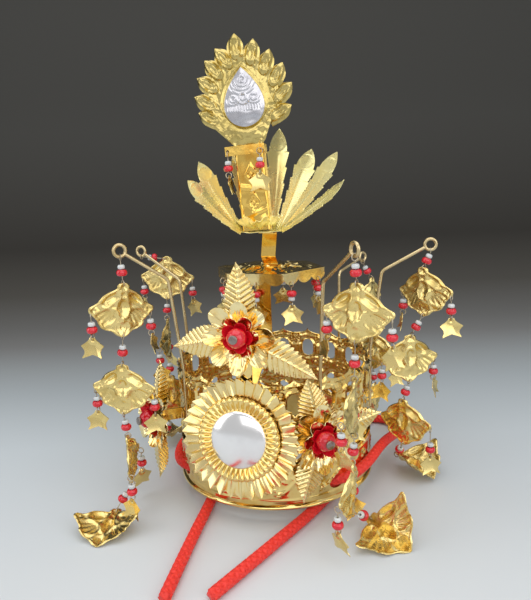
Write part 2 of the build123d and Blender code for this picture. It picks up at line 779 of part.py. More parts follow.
# Hooks: a wire up the wall, out and up to an eye. Each row has the azimuths of its foot and its eye, then
# how far its bend is outside and above the wall, then the same for the middle of its eye.
hooks = {
    "a": (41, 42, 7, 68, 44, 93),
    "b": (146, 149, 5, 55, 42, 65),
    "c": (97, 97, 11, 65, 47.5, 85),
    "d": (-43, -43, 9, 69, 43, 93),
    "e": (-94, -94, 6, 57, 43, 82),
}
wire_line = ring_radius + gap + hook_wire_radius
hook_eyes = {}
for name, (foot_azimuth, eye_azimuth, bend_out, bend_rise, eye_out, eye_rise) in hooks.items():
    foot = around(wire_line, foot_azimuth, hook_foot_height)
    rim = around(wire_line, foot_azimuth, wall_top)
    bend = around(ring_radius + bend_out, (foot_azimuth + eye_azimuth) / 2, wall_top + bend_rise)
    eye = around(ring_radius + eye_out, eye_azimuth, wall_top + eye_rise)
    slope = (eye - bend).normalized()
    neck = eye - slope * hook_eye_radius
    with BuildPart() as hook:
        with BuildLine() as path:
            FilletPolyline(foot, rim, bend, neck, radius=[hook_lower_bend, hook_upper_bend])
        with BuildSketch(Plane(origin=foot, z_dir=(0, 0, 1))):
            Circle(hook_wire_radius)
        sweep(path=path.line)
        with Locations(Plane(origin=eye, z_dir=heading(eye_azimuth + 90)).location):
            Torus(hook_eye_radius, hook_wire_radius)
    write(hook.part, "hook_" + name)
    hook_eyes[name] = eye

# Strings of stamped plates. Each row has the place of a plate's top hole from the middle of the hook's eye,
# the azimuth that it faces, its roll, the lengths of the drops on its left and right sides, and the turn of
# their stars. The last plate of a string rests on the surface: its row has the place of its top hole from
# under the hook's eye, the hole's height, the azimuth that it points to, its droop, its roll and its fold.
hanging = {
    "a": [
        ((0.9, 1.4, -23.0), -13, -2, 20, 20, 50), ((-1.2, 0.7, -85.5), 88, 0, 20, 20, -50),
        ((-3.0, 0.2, -142.5), 85, 0, 20, 20, -50),
    ],
    "b": [
        ((8.2, 3.1, -22.5), 68, -4, 20, 20, 50), ((9.2, 3.7, -75.5), -20, 0, 0, 20, 50),
        ((9.7, 4.1, -128.6), 75, 0, 0, 0, 50),
    ],
    "c": [
        ((-5.3, -1.8, -19.5), -33, 2, 20, 20, 50), ((-14.1, -4.6, -73.1), 26, 0, 20, 20, 50),
        ((-19.6, -6.3, -126.5), -28, 3, 0, 26, 50),
    ],
    "d": [
        ((0.7, -0.2, -25.0), 51, -6, 20, 20, 50), ((-4.9, -2.0, -84.4), 12, -4, 20, 20, 8),
        ((-5.5, -2.0, -140.0), -70, 0, 20, 20, 50),
    ],
    "e": [
        ((19.7, 9.6, -8.0), 17, -4, 20, 20, 50), ((17.3, 6.2, -63.7), 106, 0, 20, 20, 50),
        ((16.2, 5.8, -118.0), 40, 0, 0, 0, 50),
    ],
}
lying = {
    "a": (7.9, 23.4, 4.6, 50, 7, -33, -36),
    "c": (-23.6, 10.7, 9.6, 55, 13, 0, -35),
    "d": (-14.6, -12.9, 4.0, 10, 7, 0, -20),
    "e": (8.2, 3.6, 12.6, 178, 18, 0, -37),
}
half_width = plate_width / 2
plate_half_outline = [
    (half_width * x, plate_height * y)
    for x, y in [
        (0.10, 0.065), (0.15, -0.01), (0.32, -0.10), (0.52, -0.20), (0.72, -0.33), (0.90, -0.40),
        (1.00, -0.40), (0.99, -0.50), (0.90, -0.54), (0.80, -0.62), (0.66, -0.78), (0.42, -0.87),
        (0.20, -0.86), (0.12, -0.935),
    ]
]
side_hole = (half_width * 0.93, -plate_height * 0.47)
bottom_hole = (0, -plate_height * 0.87)


def string_of_plates(name):
    """Write the plates, the wires and the beads of one string."""
    plates = []
    drops = []
    slack = eye_radius - eye_wire_radius - hook_wire_radius - gap / 2
    hook_eye = hook_eyes[name]
    first_eye = hook_eye - Vector(0, 0, hook_eye_radius + slack)
    upper = None
    for shift, azimuth, roll, left_drop, right_drop, star_turn in hanging[name]:
        plane = facing(hook_eye + Vector(*shift), azimuth, 0, roll)
        plates.append(folded_sheet(plane, plate_half_outline, plate_fold, [(0, 0), bottom_hole, side_hole]))
        if upper is None:
            run = (plane.origin - first_eye).normalized()
            plate_axis = run.cross(heading(azimuth)).normalized()
            last_eye = plane.origin - run * eye_radius
            drops.append(beaded_wire(first_eye, last_eye, heading(hooks[name][1]), plate_axis))
        else:
            drops.append(link(upper, plane.origin, upper_normal, heading(azimuth)))
        upper = plane.from_local_coords((*bottom_hole, 0))
        upper_normal = heading(azimuth)
        for side, length in ((-1, left_drop), (1, right_drop)):
            if length:
                side_plane = turned(plane, y=side * plate_fold)
                spot = side_plane.from_local_coords((side * side_hole[0], side_hole[1], sheet / 2))
                end = spot - Vector(0, 0, length)
                star_azimuth = azimuth + side * star_turn
                drops.append(link(spot, end, side_plane.z_dir, heading(star_azimuth), lift=0.0))
                plates.append(star(end, star_azimuth))
    if name in lying:
        shift_x, shift_y, height, azimuth, droop, roll, fold = lying[name]
        hole = Vector(hook_eye.X + shift_x, hook_eye.Y + shift_y, height)
        fall = math.radians(droop)
        forward = heading(azimuth) * math.cos(fall) - Vector(0, 0, math.sin(fall))
        plane = turned(along(hole, hole - forward, Vector(0, 0, 1)), y=roll)
        plates.append(folded_sheet(plane, plate_half_outline, fold, [(0, 0), bottom_hole, side_hole]))
        drops.append(link(upper, hole, upper_normal, plane.z_dir, lower_way=forward))
    gather("string_" + name + "_plates", plates)
    gather("string_" + name + "_wires", [wire for wire, beads in drops])
    gather("string_" + name + "_beads", [piece for wire, beads in drops for piece in beads])


for name in hanging:
    string_of_plates(name)
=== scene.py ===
# %% [markdown]
# # Dressing a shrine maiden's crown
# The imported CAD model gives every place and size. This lesson dresses it with stamped gilt sheet, seed
# beads, a silver mirror and a braided red cord, piece by piece.

# %% Load the frame
import math
from math import atan2, copysign, cos, degrees, exp, hypot, pi, radians, sin, sqrt, tan

import bpy
from mathutils import Matrix, Vector, noise


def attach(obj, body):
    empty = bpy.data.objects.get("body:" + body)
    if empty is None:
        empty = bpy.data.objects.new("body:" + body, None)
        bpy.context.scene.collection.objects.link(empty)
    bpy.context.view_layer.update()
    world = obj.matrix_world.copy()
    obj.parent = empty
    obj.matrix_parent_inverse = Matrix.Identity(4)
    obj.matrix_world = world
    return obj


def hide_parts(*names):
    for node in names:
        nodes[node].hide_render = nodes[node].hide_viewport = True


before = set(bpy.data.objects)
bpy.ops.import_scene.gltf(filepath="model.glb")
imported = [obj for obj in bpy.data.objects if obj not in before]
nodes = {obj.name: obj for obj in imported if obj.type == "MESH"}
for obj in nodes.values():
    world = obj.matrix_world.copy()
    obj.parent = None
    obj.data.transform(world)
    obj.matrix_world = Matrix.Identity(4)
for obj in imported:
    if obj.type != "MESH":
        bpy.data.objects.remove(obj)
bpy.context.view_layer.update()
print("nodes", len(nodes))

# %% [markdown]
# All sizes below are in millimetres, and each finished mesh is scaled to metres once. A direction is an
# azimuth from the front of the crown toward the +X side.

# %% Directions and planes
mm = 0.001
upright = Vector((0, 0, 1))


def heading(azimuth):
    return Vector((sin(radians(azimuth)), -cos(radians(azimuth)), 0))


def around(radius, azimuth, height):
    return heading(azimuth) * radius + Vector((0, 0, height))


def plane_at(origin, x_dir, z_dir):
    z = z_dir.normalized()
    x = (x_dir - z * x_dir.dot(z)).normalized()
    turn = Matrix((x, z.cross(x), z)).transposed().to_4x4()
    turn.translation = origin
    return turn


def turned(plane, y=0, z=0):
    return plane @ Matrix.Rotation(radians(y), 4, "Y") @ Matrix.Rotation(radians(z), 4, "Z")


def facing(origin, azimuth, tilt=0, roll=0):
    normal = heading(azimuth) * cos(radians(tilt)) + upright * sin(radians(tilt))
    return turned(plane_at(origin, heading(azimuth + 90), normal), z=roll)


def along(origin, tip, up):
    forward = (tip - origin).normalized()
    sideways = forward.cross(up).normalized()
    return plane_at(origin, sideways, sideways.cross(forward))


def polar(radius, angle, z):
    return (radius * cos(angle), radius * sin(angle), z)


def noise_at(x, y, z):
    return noise.noise(Vector((x, y, z)))


def deselect():
    bpy.ops.object.select_all(action="DESELECT")


# %% [markdown]
# The photographer stood a little to the right of the sun disc and looked slightly down. The camera's plane
# faces the crown from there, and its roll is the small lean of the picture.

# %% Camera
view_azimuth, view_pitch, view_roll = 17.5, 11, 2.3
camera_place = Vector((129.8, -432, 237))
bpy.ops.object.camera_add()
camera = bpy.context.object
camera.name = "photo_camera"
camera.matrix_world = facing(camera_place * mm, view_azimuth, view_pitch, -view_roll)
camera.data.lens = 33.6
camera.data.shift_x = 0.0033
bpy.context.scene.camera = camera
bpy.context.scene.view_settings.view_transform = "Standard"
print("camera at", [round(c, 3) for c in camera.location])

# %% [markdown]
# A sheet of paper under and behind the crown gives the pale floor. Polished gilt shows what is around it,
# so the lights are large soft panels, and the space between them stays darker.

# %% Floor and lights
paper_half_width, paper_half_length, paper_front = 2.4, 1.8, 1.3
bend_start, bend_radius = 0.55, 0.45
deselect()
bpy.ops.mesh.primitive_grid_add(x_subdivisions=2, y_subdivisions=60, size=2)
floor = bpy.context.object
floor.name = "paper_sweep"
for vertex in floor.data.vertices:
    run = (vertex.co.y + 1) * paper_half_length - paper_front
    over = max(0, run - bend_start)
    turn = min(over / bend_radius, pi / 2)
    level = min(run, bend_start) + bend_radius * sin(turn)
    rise = bend_radius * (1 - cos(turn)) + max(0, over - bend_radius * pi / 2)
    vertex.co = (vertex.co.x * paper_half_width, level, rise)
bpy.ops.object.shade_smooth()
floor.rotation_euler[2] = radians(view_azimuth)


def panel(name, place, target, width, height, power):
    bpy.ops.object.light_add(type="AREA")
    light = bpy.context.object
    light.name = name
    light.data.shape = "RECTANGLE"
    light.data.size, light.data.size_y = width, height
    light.data.energy = power
    light.location = place
    light.rotation_euler = (Vector(target) - Vector(place)).to_track_quat("-Z", "Y").to_euler()


panel("panel_top", (0, -0.2, 1.15), (0, 0, 0.1), 1.3, 1, 5)
panel("panel_left", (-0.95, -0.65, 0.55), (0, 0, 0.15), 0.7, 0.9, 2.8)
panel("panel_right", (0.95, -0.55, 0.55), (0, 0, 0.15), 0.6, 0.9, 2.6)
panel("panel_front", (0.35, -1.25, 0.75), (0, 0, 0.15), 1.4, 0.7, 4)


def fill(node, **values):
    """Set a node's inputs by name, where an underscore stands for a space."""
    for name, value in values.items():
        node.inputs[name.replace("_", " ")].default_value = value


world = bpy.data.worlds.new("studio_air")
bpy.context.scene.world = world
world.use_nodes = True
fill(world.node_tree.nodes["Background"], Color=(0.56, 0.57, 0.58, 1), Strength=0.95)
print("panels set")

# %% [markdown]
# Gilt sheet is never perfectly flat: it is rippled by hand and darker where fingers have touched it. One
# shared node group makes that ripple and stain, and each finish uses it with its own scale.


# %% Ripple and stain group
def add_nodes(tree, *kinds):
    return [tree.nodes.new("ShaderNode" + kind) for kind in kinds]


def connect(tree, *rows):
    """Link the sockets that each row names: from a node's output to another node's input."""
    for giver, output, taker, entry in rows:
        tree.links.new(giver.outputs[output], taker.inputs[entry])


ripple = bpy.data.node_groups.new("ripple_and_stain", "ShaderNodeTree")
for way, sockets in (("INPUT", ("Ripple Scale", "Stain Scale")), ("OUTPUT", ("Height", "Stain"))):
    for socket in sockets:
        ripple.interface.new_socket(socket, in_out=way, socket_type="NodeSocketFloat")
group_in = ripple.nodes.new("NodeGroupInput")
group_out = ripple.nodes.new("NodeGroupOutput")
coords, fine, blotch, spread = add_nodes(ripple, "TexCoord", "TexNoise", "TexNoise", "MapRange")
fill(fine, Detail=3)
fill(blotch, Detail=5, Roughness=0.65)
fill(spread, From_Min=0.48, From_Max=0.72)
connect(
    ripple, (coords, "Object", fine, "Vector"), (coords, "Object", blotch, "Vector"),
    (group_in, "Ripple Scale", fine, "Scale"), (group_in, "Stain Scale", blotch, "Scale"),
    (blotch, "Fac", spread, "Value"), (fine, "Fac", group_out, "Height"),
    (spread, "Result", group_out, "Stain"))


def sheet_metal(
        name, bright, stained, smooth, dull, ripple_scale, ripple_height, stain_scale=60, metallic=1):
    """A metal finish with a rippled surface and stained patches."""
    finish = bpy.data.materials.new(name)
    finish.use_nodes = True
    tree = finish.node_tree
    shader = tree.nodes["Principled BSDF"]
    wear, tint, gloss, bump = add_nodes(tree, "Group", "Mix", "MapRange", "Bump")
    wear.node_tree = ripple
    tint.data_type = "RGBA"
    fill(shader, Metallic=metallic)
    fill(wear, Ripple_Scale=ripple_scale, Stain_Scale=stain_scale)
    fill(tint, A=(*bright, 1), B=(*stained, 1))
    fill(gloss, To_Min=smooth, To_Max=dull)
    fill(bump, Strength=1, Distance=ripple_height * mm)
    connect(
        tree, (wear, "Stain", tint, "Factor"), (wear, "Stain", gloss, "Value"),
        (wear, "Height", bump, "Height"), (tint, "Result", shader, "Base Color"),
        (gloss, "Result", shader, "Roughness"), (bump, "Normal", shader, "Normal"))
    return finish


# %% [markdown]
# The gilt is all one metal, but it looks pale where it is flat and faces the light, and orange and deep
# where it is folded. So there are a few golds: the pale one is painted highlight and the deep one is painted
# fold shade. Each line gives the clean and the stained colour, their roughness, the ripple's scale and
# height, then the stain's scale and how metallic it is.

# %% Metal finishes
gilt = sheet_metal("gilt_sheet", (0.93, 0.7, 0.27), (0.8, 0.5, 0.13), 0.1, 0.24, 45, 0.25)
gilt_leaf = sheet_metal("gilt_leaf", (0.95, 0.76, 0.36), (0.85, 0.58, 0.19), 0.14, 0.28, 90, 0.12)
gilt_stamped = sheet_metal("gilt_stamped", (0.86, 0.67, 0.27), (0.64, 0.45, 0.13), 0.24, 0.38, 120, 0.04)
# painted highlight: a paler, less metallic copy of the gilt for flat sheet that faces the light
gilt_pale_painted_highlight = sheet_metal(
    "gilt_pale_painted_highlight", (1, 0.9, 0.42), (0.97, 0.82, 0.3), 0.26, 0.38, 120, 0.06, 30, 0.72)
gilt_olive = sheet_metal("gilt_olive", (0.64, 0.5, 0.18), (0.42, 0.32, 0.09), 0.22, 0.36, 150, 0.08)
# painted highlight: the petals' light gold stands in for the glare of crumpled foil that faces the light
gilt_petal_painted_glare = sheet_metal("gilt_petal_painted_glare", (1, 0.84, 0.44), (0.92, 0.54, 0.1), 0.14, 0.24, 160, 0.12, 30)
# painted shade: a deeper, more orange copy of the gilt for folded sheet
gilt_deep_painted_shade = sheet_metal("gilt_deep_painted_shade", (0.92, 0.6, 0.14), (0.72, 0.36, 0.05), 0.12, 0.26, 60, 0.2)
wire_finish = sheet_metal("brass_wire", (0.7, 0.55, 0.3), (0.5, 0.36, 0.16), 0.25, 0.42, 150, 0.05)
iron_wire = sheet_metal("thin_wire", (0.55, 0.48, 0.36), (0.34, 0.27, 0.18), 0.3, 0.5, 200, 0.05)
silver = sheet_metal("silver_foil", (0.64, 0.63, 0.66), (0.42, 0.41, 0.45), 0.24, 0.36, 120, 0.1)
# painted reflection: the mirror's faint pink tint stands in for the red cord that it reflects
mirror = sheet_metal("silver_mirror", (0.96, 0.94, 0.93), (0.88, 0.85, 0.85), 0.17, 0.27, 30, 0.3, 25)
red_foil = sheet_metal(
    "red_foil", (0.8, 0.012, 0.03), (0.58, 0.006, 0.014), 0.25, 0.42, 160, 0.3, 90, 0.35)


def bead_finish(name, color, dark, scatter):
    """Glossy pressed glass with a faint streak in it."""
    finish = sheet_metal(name, color, dark, 0.1, 0.22, 300, 0.03, 250, 0)
    fill(
        finish.node_tree.nodes["Principled BSDF"], Coat_Weight=0.6, Coat_Roughness=0.06,
        Subsurface_Weight=scatter, Subsurface_Radius=(0.002, 0.0006, 0.0004), Subsurface_Scale=0.5)
    return finish


red_glass = bead_finish("red_glass", (0.72, 0.006, 0.022), (0.5, 0.003, 0.01), 0.02)
white_glass = bead_finish("white_glass", (0.66, 0.68, 0.67), (0.44, 0.5, 0.52), 0.1)
blue_glass = bead_finish("blue_glass", (0.03, 0.16, 0.3), (0.02, 0.08, 0.18), 0)
washer_grey = sheet_metal(
    "washer_grey", (0.34, 0.29, 0.26), (0.2, 0.16, 0.15), 0.25, 0.42, 300, 0.1, 400)

# %% [markdown]
# The paper is pale at the front and falls off into shade behind the crown. A ramp along its length, and up
# its bend, gives that fall, from (place, colour) rows.

# %% Paper
paper_shades = [
    (0, (0.7, 0.73, 0.75, 1)), (0.16, (0.6, 0.65, 0.68, 1)), (0.26, (0.42, 0.46, 0.48, 1)),
    (0.4, (0.22, 0.22, 0.215, 1)), (0.6, (0.075, 0.07, 0.06, 1)), (0.74, (0.03, 0.027, 0.022, 1)),
    (1, (0.06, 0.058, 0.052, 1)),
]
paper = bpy.data.materials.new("sweep_paper")
paper.use_nodes = True
tree = paper.node_tree
paper_shader = tree.nodes["Principled BSDF"]
place, split, distance, fade = add_nodes(tree, "TexCoord", "SeparateXYZ", "Math", "MapRange")
shade = tree.nodes.new("ShaderNodeValToRGB")
distance.operation = "ADD"
stops = shade.color_ramp.elements
stops[0].color, stops[1].color = paper_shades[0][1], paper_shades[-1][1]
for position, color in paper_shades[1:-1]:
    stops.new(position).color = color
fill(paper_shader, Roughness=0.9)
fill(fade, From_Min=-0.2, From_Max=1.4)
connect(
    tree, (place, "Object", split, "Vector"), (split, "Y", distance, 0), (split, "Z", distance, 1),
    (distance, "Value", fade, "Value"), (fade, "Result", shade, "Fac"),
    (shade, "Color", paper_shader, "Base Color"))
floor.data.materials.append(paper)
print("finishes", len(bpy.data.materials))

# %% [markdown]
# Almost everything here is thin sheet pressed over a die. A grid is the natural start: its two directions
# follow the piece, and each of its points is moved to its place on the pressed shape. A shape that is drawn
# flat is then put on a plane of the crown.


# %% Sheet from a grid
def thicken(piece, thickness, offset):
    skin = piece.modifiers.new("thickness", "SOLIDIFY")
    skin.thickness = thickness * mm
    skin.offset = offset
    bpy.ops.object.modifier_apply(modifier=skin.name)


def clean():
    """Merge the points of the active mesh that meet, and turn its faces outward."""
    bpy.ops.object.mode_set(mode="EDIT")
    bpy.ops.mesh.select_all(action="SELECT")
    bpy.ops.mesh.remove_doubles(threshold=0.00002)
    bpy.ops.mesh.dissolve_degenerate(threshold=0.00001)
    bpy.ops.mesh.normals_make_consistent(inside=False)
    bpy.ops.object.mode_set(mode="OBJECT")


def pressed_sheet(name, columns, rows, shape, plane=None, thickness=0.4, sharp=50):
    """Grid whose point (u, v), u from -1 to 1 and v from 0 to 1, goes to shape(u, v)."""
    deselect()
    bpy.ops.mesh.primitive_grid_add(x_subdivisions=columns, y_subdivisions=rows, size=2)
    piece = bpy.context.object
    piece.name = name
    for vertex in piece.data.vertices:
        spot = Vector(shape(vertex.co.x, (vertex.co.y + 1) / 2))
        vertex.co = (spot if plane is None else plane @ spot) * mm
    clean()
    if thickness:
        thicken(piece, thickness, 0)
    bpy.ops.object.shade_smooth_by_angle(angle=radians(sharp))
    return piece


def new_object(name, data):
    piece = bpy.data.objects.new(name, data)
    bpy.context.scene.collection.objects.link(piece)
    return piece


def copy_to(master, name, plane):
    """Copy of a master, with its own mesh, moved to a plane."""
    mesh = master.data.copy()
    place = plane.copy()
    place.translation = plane.translation * mm
    mesh.transform(place)
    return new_object(name, mesh)


def join(name, pieces):
    deselect()
    for piece in pieces:
        piece.select_set(True)
    bpy.context.view_layer.objects.active = pieces[0]
    bpy.ops.object.join()
    joined = bpy.context.object
    joined.name = name
    return joined


def discard(*masters):
    for master in masters:
        bpy.data.objects.remove(master)


def paint(piece, finish):
    piece.data.materials.clear()
    piece.data.materials.append(finish)


def dress(piece, finish, *replaced, slot="gold_brass"):
    """Give a piece its finish, let it ride on the crown and hide the CAD nodes that it stands for."""
    if finish is not None:
        paint(piece, finish)
    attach(piece, "root")
    if replaced:
        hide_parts(*replaced)
    print(piece.name, "faces", len(piece.data.polygons))


# %% [markdown]
# A pressed line is a smooth bump across its path. These small functions give the height of such a line when
# it runs straight, round an oval, or beside an edge, and of a pit with a flat floor.


# %% Pressed lines
def ridge(distance, width):
    return exp(-(distance / width) ** 2)


def oval(x, y, cx, cy, a, b, turn=0):
    """Distance, about in millimetres, from an oval line; below zero inside it."""
    c, s = cos(radians(turn)), sin(radians(turn))
    px = (x - cx) * c + (y - cy) * s
    py = -(x - cx) * s + (y - cy) * c
    reach = hypot(px / a, py / b)
    return (reach - 1) * min(a, b)


def pit(*oval_place):
    """Full depth inside an oval and a soft slope round it."""
    return ridge(max(0, oval(*oval_place)), 0.9)


def table_value(rows, at):
    """Value between the rows of a table of (place, value)."""
    for (p0, v0), (p1, v1) in zip(rows, rows[1:]):
        if at <= p1:
            return v0 + (v1 - v0) * (at - p0) / (p1 - p0)
    return rows[-1][1]


# %% [markdown]
# The ring is a wall of openwork inside a band. Every gap has a raised lip, and scrolls fill the metal
# between. The grid is cut where the gaps are, and the points beside a gap are moved onto its outline, which
# keeps the cut clean.

# %% Pierced wall
ring_radius, rim_height, wall_top = 78, 8.3, 107
wall_foot = rim_height + 0.3
bay = 18
half_bay = pi * ring_radius / 20
cusp_depth = 5
arch_level, arch_straight, arch_half = 88, 2.5, 5.5
leaf_gaps = ((49.3, 30), (62.5, -30))
wall_scrolls = ((9, 73.5, 6.6), (9.5, 55.5, 6), (9.5, 96, 4.6))
relief_foot = 44.5
cord_holes = ((50.9, 22.2), (-50.4, 19.5))


def on_ring(arc):
    """Millimetres along the ring for an arc in degrees."""
    return arc * radians(1) * ring_radius


def coil(dx, dz, size, turns, way=1):
    """Place across the line of a spiral, in millimetres, or infinity outside it."""
    reach = hypot(dx, dz)
    if reach < size:
        return ((reach / size * turns - way * atan2(dz, dx) / (2 * pi)) % 1 - 0.5) * size / turns
    return math.inf


def cord_gap(arc, z):
    """Distance from the edge of the holes that let the cord in at the front."""
    return min(oval(on_ring(arc - azimuth), z, 0, level, 7, 5) for azimuth, level in cord_holes)


def wall_gap(arc, z):
    """Distance from the nearest gap's edge, below zero in the gap. Arc is in degrees from the front."""
    local = on_ring(arc % bay - bay / 2)
    arch = hypot(local, max(abs(z - arch_level) - arch_straight, 0)) - arch_half
    leaves = min(oval(local, z, 0, level, 4.5, 3, turn) for level, turn in leaf_gaps)
    cusp = oval(on_ring((arc + bay / 2) % bay - bay / 2), z, 0, wall_top, half_bay, cusp_depth)
    return min(arch, leaves, cusp, cord_gap(arc, z))


def wall_relief(arc, z):
    local = on_ring(arc % bay - bay / 2)
    height = 1.3 * ridge(wall_gap(arc, z) - 1.5, 1.1)
    for side in (-1, 1):
        for cx, cz, size in wall_scrolls:
            dx, dz = local * side - cx, z - cz
            height += 1.2 * ridge(coil(dx, dz, size, 1.6), 0.95)
            height += 0.6 * ridge(hypot(dx, dz) - size, 0.9)
    return height


def onto_edge(gap, arc, z):
    """Point beside a gap moved onto the gap's edge, so that the cut is clean."""
    near, step = 0.75, 0.35
    distance = gap(arc, z)
    if abs(distance) > near:
        return arc, z
    arc_step = degrees(step / ring_radius)
    slope_a = (gap(arc + arc_step, z) - gap(arc - arc_step, z)) / (2 * step)
    slope_z = (gap(arc, z + step) - gap(arc, z - step)) / (2 * step)
    size = max(slope_a ** 2 + slope_z ** 2, 0.05)
    return arc - degrees(distance * slope_a / size / ring_radius), z - distance * slope_z / size


def cut_gaps(piece, gap, thickness, offset):
    """Remove the faces inside the gaps, then thicken the sheet."""
    bpy.ops.object.mode_set(mode="EDIT")
    bpy.ops.mesh.select_all(action="DESELECT")
    bpy.ops.mesh.select_mode(type="FACE")
    bpy.ops.object.mode_set(mode="OBJECT")
    for face in piece.data.polygons:
        middle = face.center / mm
        face.select = gap(degrees(atan2(middle.x, -middle.y)), middle.z) < -0.05
    bpy.ops.object.mode_set(mode="EDIT")
    bpy.ops.mesh.delete(type="FACE")
    bpy.ops.object.mode_set(mode="OBJECT")
    thicken(piece, thickness, offset)
    bpy.ops.object.shade_smooth_by_angle(angle=radians(60))


def wall_shape(u, v):
    arc, z = onto_edge(wall_gap, u * 180, wall_foot + (wall_top - wall_foot) * v)
    z = min(max(z, wall_foot), wall_top)
    radius = ring_radius - 0.4 + (wall_relief(arc, z) if z > relief_foot else 0)
    return around(radius, arc, z)


wall = pressed_sheet("openwork_wall", 380, 76, wall_shape, thickness=0)
cut_gaps(wall, wall_gap, 0.6, 0)
dress(wall, gilt, "pierced_wall")

# %% [markdown]
# The band round the foot carries a low pressed scroll between two lines. Its lower edge is rolled outward
# into a round bead, and the cord's two holes are cut in the same way as the gaps above.

# %% Band
band_radius, band_foot, band_top = 79.1, 8.3, 43.3
band_relief_foot, band_relief_top, scroll_level = 11.5, 41.5, 26.5
band_cell = 12
foot_roll, top_roll = 1.4, 0.8


def band_relief(arc, z):
    height = 0.5 * ridge(z - 15, 0.7) + 0.5 * ridge(z - 38.5, 0.7)
    cell = on_ring(arc % band_cell - band_cell / 2)
    flip = 1 if math.floor(arc / band_cell) % 2 else -1
    height += 0.9 * ridge(z - scroll_level - 5.5 * sin(radians(arc * 15)), 1.2)
    for cx, cz, size in ((-2.5, scroll_level - 4.5 * flip, 4.4), (4.5, scroll_level + 5 * flip, 3.2)):
        height += 0.8 * ridge(coil(cell - cx, z - cz, size, 1.4, flip), 0.8)
    return height + 0.5 * abs(sin(radians(arc * 18))) * ridge(z - 13, 0.9)


def rolled(radius, height):
    """Swell of a rolled edge at a height above its lower side."""
    return sqrt(max(0, radius ** 2 - (height - radius) ** 2))


def band_shape(u, v):
    arc, z = onto_edge(cord_gap, u * 180, band_foot + (band_top - band_foot) * v)
    z = min(max(z, band_foot), band_top)
    relief = 0
    if z < band_foot + 2 * foot_roll:
        relief = 0.6 + rolled(foot_roll, z - band_foot)
    elif z > band_top - 2 * top_roll:
        relief = rolled(top_roll, band_top - z)
    elif band_relief_foot < z < band_relief_top:
        relief = max(0, band_relief(arc, z))
    return around(band_radius + relief, arc, z)


band = pressed_sheet("embossed_band", 320, 40, band_shape, thickness=0)
cut_gaps(band, cord_gap, 0.8, -1)
dress(band, gilt, "base_band")

# %% [markdown]
# The sun disc has two rings of folded sheet round a domed mirror. The outer ring is folded like a fan, with a
# pointed tip on each fold, and lies on its plain CAD disc. The inner ring is gathered into narrow ribs with a
# scalloped edge.

# %% Sun disc
sun_plane = facing(Vector((0, -(ring_radius + 9.5), 67.5)), 0, 8)
sun_outer, sun_inner, sun_mirror = 43, 29.5, 20.5
sun_folds, sun_ribs = 34, 42
fold_peak = 0.75
outer_start, inner_start = 18, 16


def outer_ray(u, v):
    angle = u * pi
    turns = (angle / (2 * pi)) * sun_folds
    part = turns % 1
    peak = part / fold_peak if part < fold_peak else (1 - part) / (1 - fold_peak)
    uneven = noise_at(math.floor(turns) * 3.7, 1.3, 0)
    edge = sun_outer * (1 + 0.015 * uneven) - 3.6 * (1 - peak)
    radius = outer_start + (edge - outer_start) * v
    share = max(0, (radius - 24) / 19)
    return polar(radius, angle, 0.8 + 2.6 * peak * share + (1.2 * uneven + 0.5 * share) * share)


def inner_ray(u, v):
    angle = u * pi
    turns = (angle / (2 * pi)) * sun_ribs
    rib = 0.5 + 0.5 * cos(2 * pi * turns)
    uneven = noise_at(math.floor(turns + 0.5) * 2.9, 8.3, 0)
    edge = sun_inner * (1 + 0.012 * uneven) + 0.7 * rib
    radius = inner_start + (edge - inner_start) * v
    share = max(0, (radius - 19) / (edge - 19))
    ribbing = 1.9 * (rib - 0.5) * sin(pi * min(1, share * 1.05) ** 0.9)
    lip = -2.6 * max(0, (share - 0.84) / 0.16) ** 2
    return polar(radius, angle, 3.6 + 2.9 * share + ribbing + 0.4 * uneven * share + lip)


def dome(u, v):
    return polar(sun_mirror * sin(v * pi / 2), u * pi, 4.3 + 5 * cos(v * pi / 2))


dress(pressed_sheet("fan_rays", sun_folds * 10, 10, outer_ray, sun_plane, sharp=25), gilt_leaf)
dress(pressed_sheet("ribbed_rays", sun_ribs * 10, 12, inner_ray, sun_plane, sharp=60), gilt, "sun_rays_inner")
mirror_dome = pressed_sheet("mirror_dome", 96, 24, dome, sun_plane, 0.3, 60)
dress(mirror_dome, mirror, "sun_mirror", slot="mirror_disc")

# %% [markdown]
# Fern leaves are stamped with a midrib and slanting veins, and each vein ends in a tooth. The leaf bends a
# little along its length, so that each one catches the light in another place. A flower's row holds its
# plane, then the angles, the lengths and the curls of its leaves.

# %% Fern leaf
leaf_teeth, leaf_width, vein_slant = 12, 24, 0.62
flowers = {
    "crest": (facing(Vector((2, -81.6, 140)), 2, 6), (92, 190, -28), (51, 52, 60), (-2.5, 3, 3.5)),
    "right": (facing(around(86.3, 38, 65), 34, 4), (100, 253, 12), (44, 50, 50), (1.5, 3, 3)),
    "left": (facing(around(98, -52, 66), -34, 4), (88, 268, 178), (46, 52, 46), (1.5, 2.5, 3)),
}


def fern_leaf(length, curl, seed):
    pitch = length / (leaf_teeth + 1.5)
    stalk = leaf_width * 0.07

    def shape(u, v):
        y = v * length
        swell = sin(pi * min(v ** 0.75, 1)) ** 0.8 if 0 < v < 1 else 0
        half = stalk + (leaf_width / 2 - stalk) * swell
        half *= 1 - v ** 9
        tooth = ((y - half * vein_slant * 0.4) / pitch) % 1
        reach = half * (1 - 0.17 * (1 - tooth) * min(1, swell * 3))
        x = reach * abs(u)
        tip_y = y + x * vein_slant * (1 - v)
        vein = 1 - 2 * abs(2 * (((tip_y - x * vein_slant) / pitch - 0.35) % 1) - 1) ** 1.3
        fade = min(1, x / 1.5) * min(1, (1 - v) * 6) * min(1, v * 8)
        lift = 0.6 * vein * fade + 0.7 * ridge(x, 0.75)
        z = 0.9 - 0.2 * x + lift + 0.9 * noise_at(u * 0.9, v * 2.2, seed) - curl * v * v
        return (copysign(x, u) if u else 0, tip_y, z)

    return shape


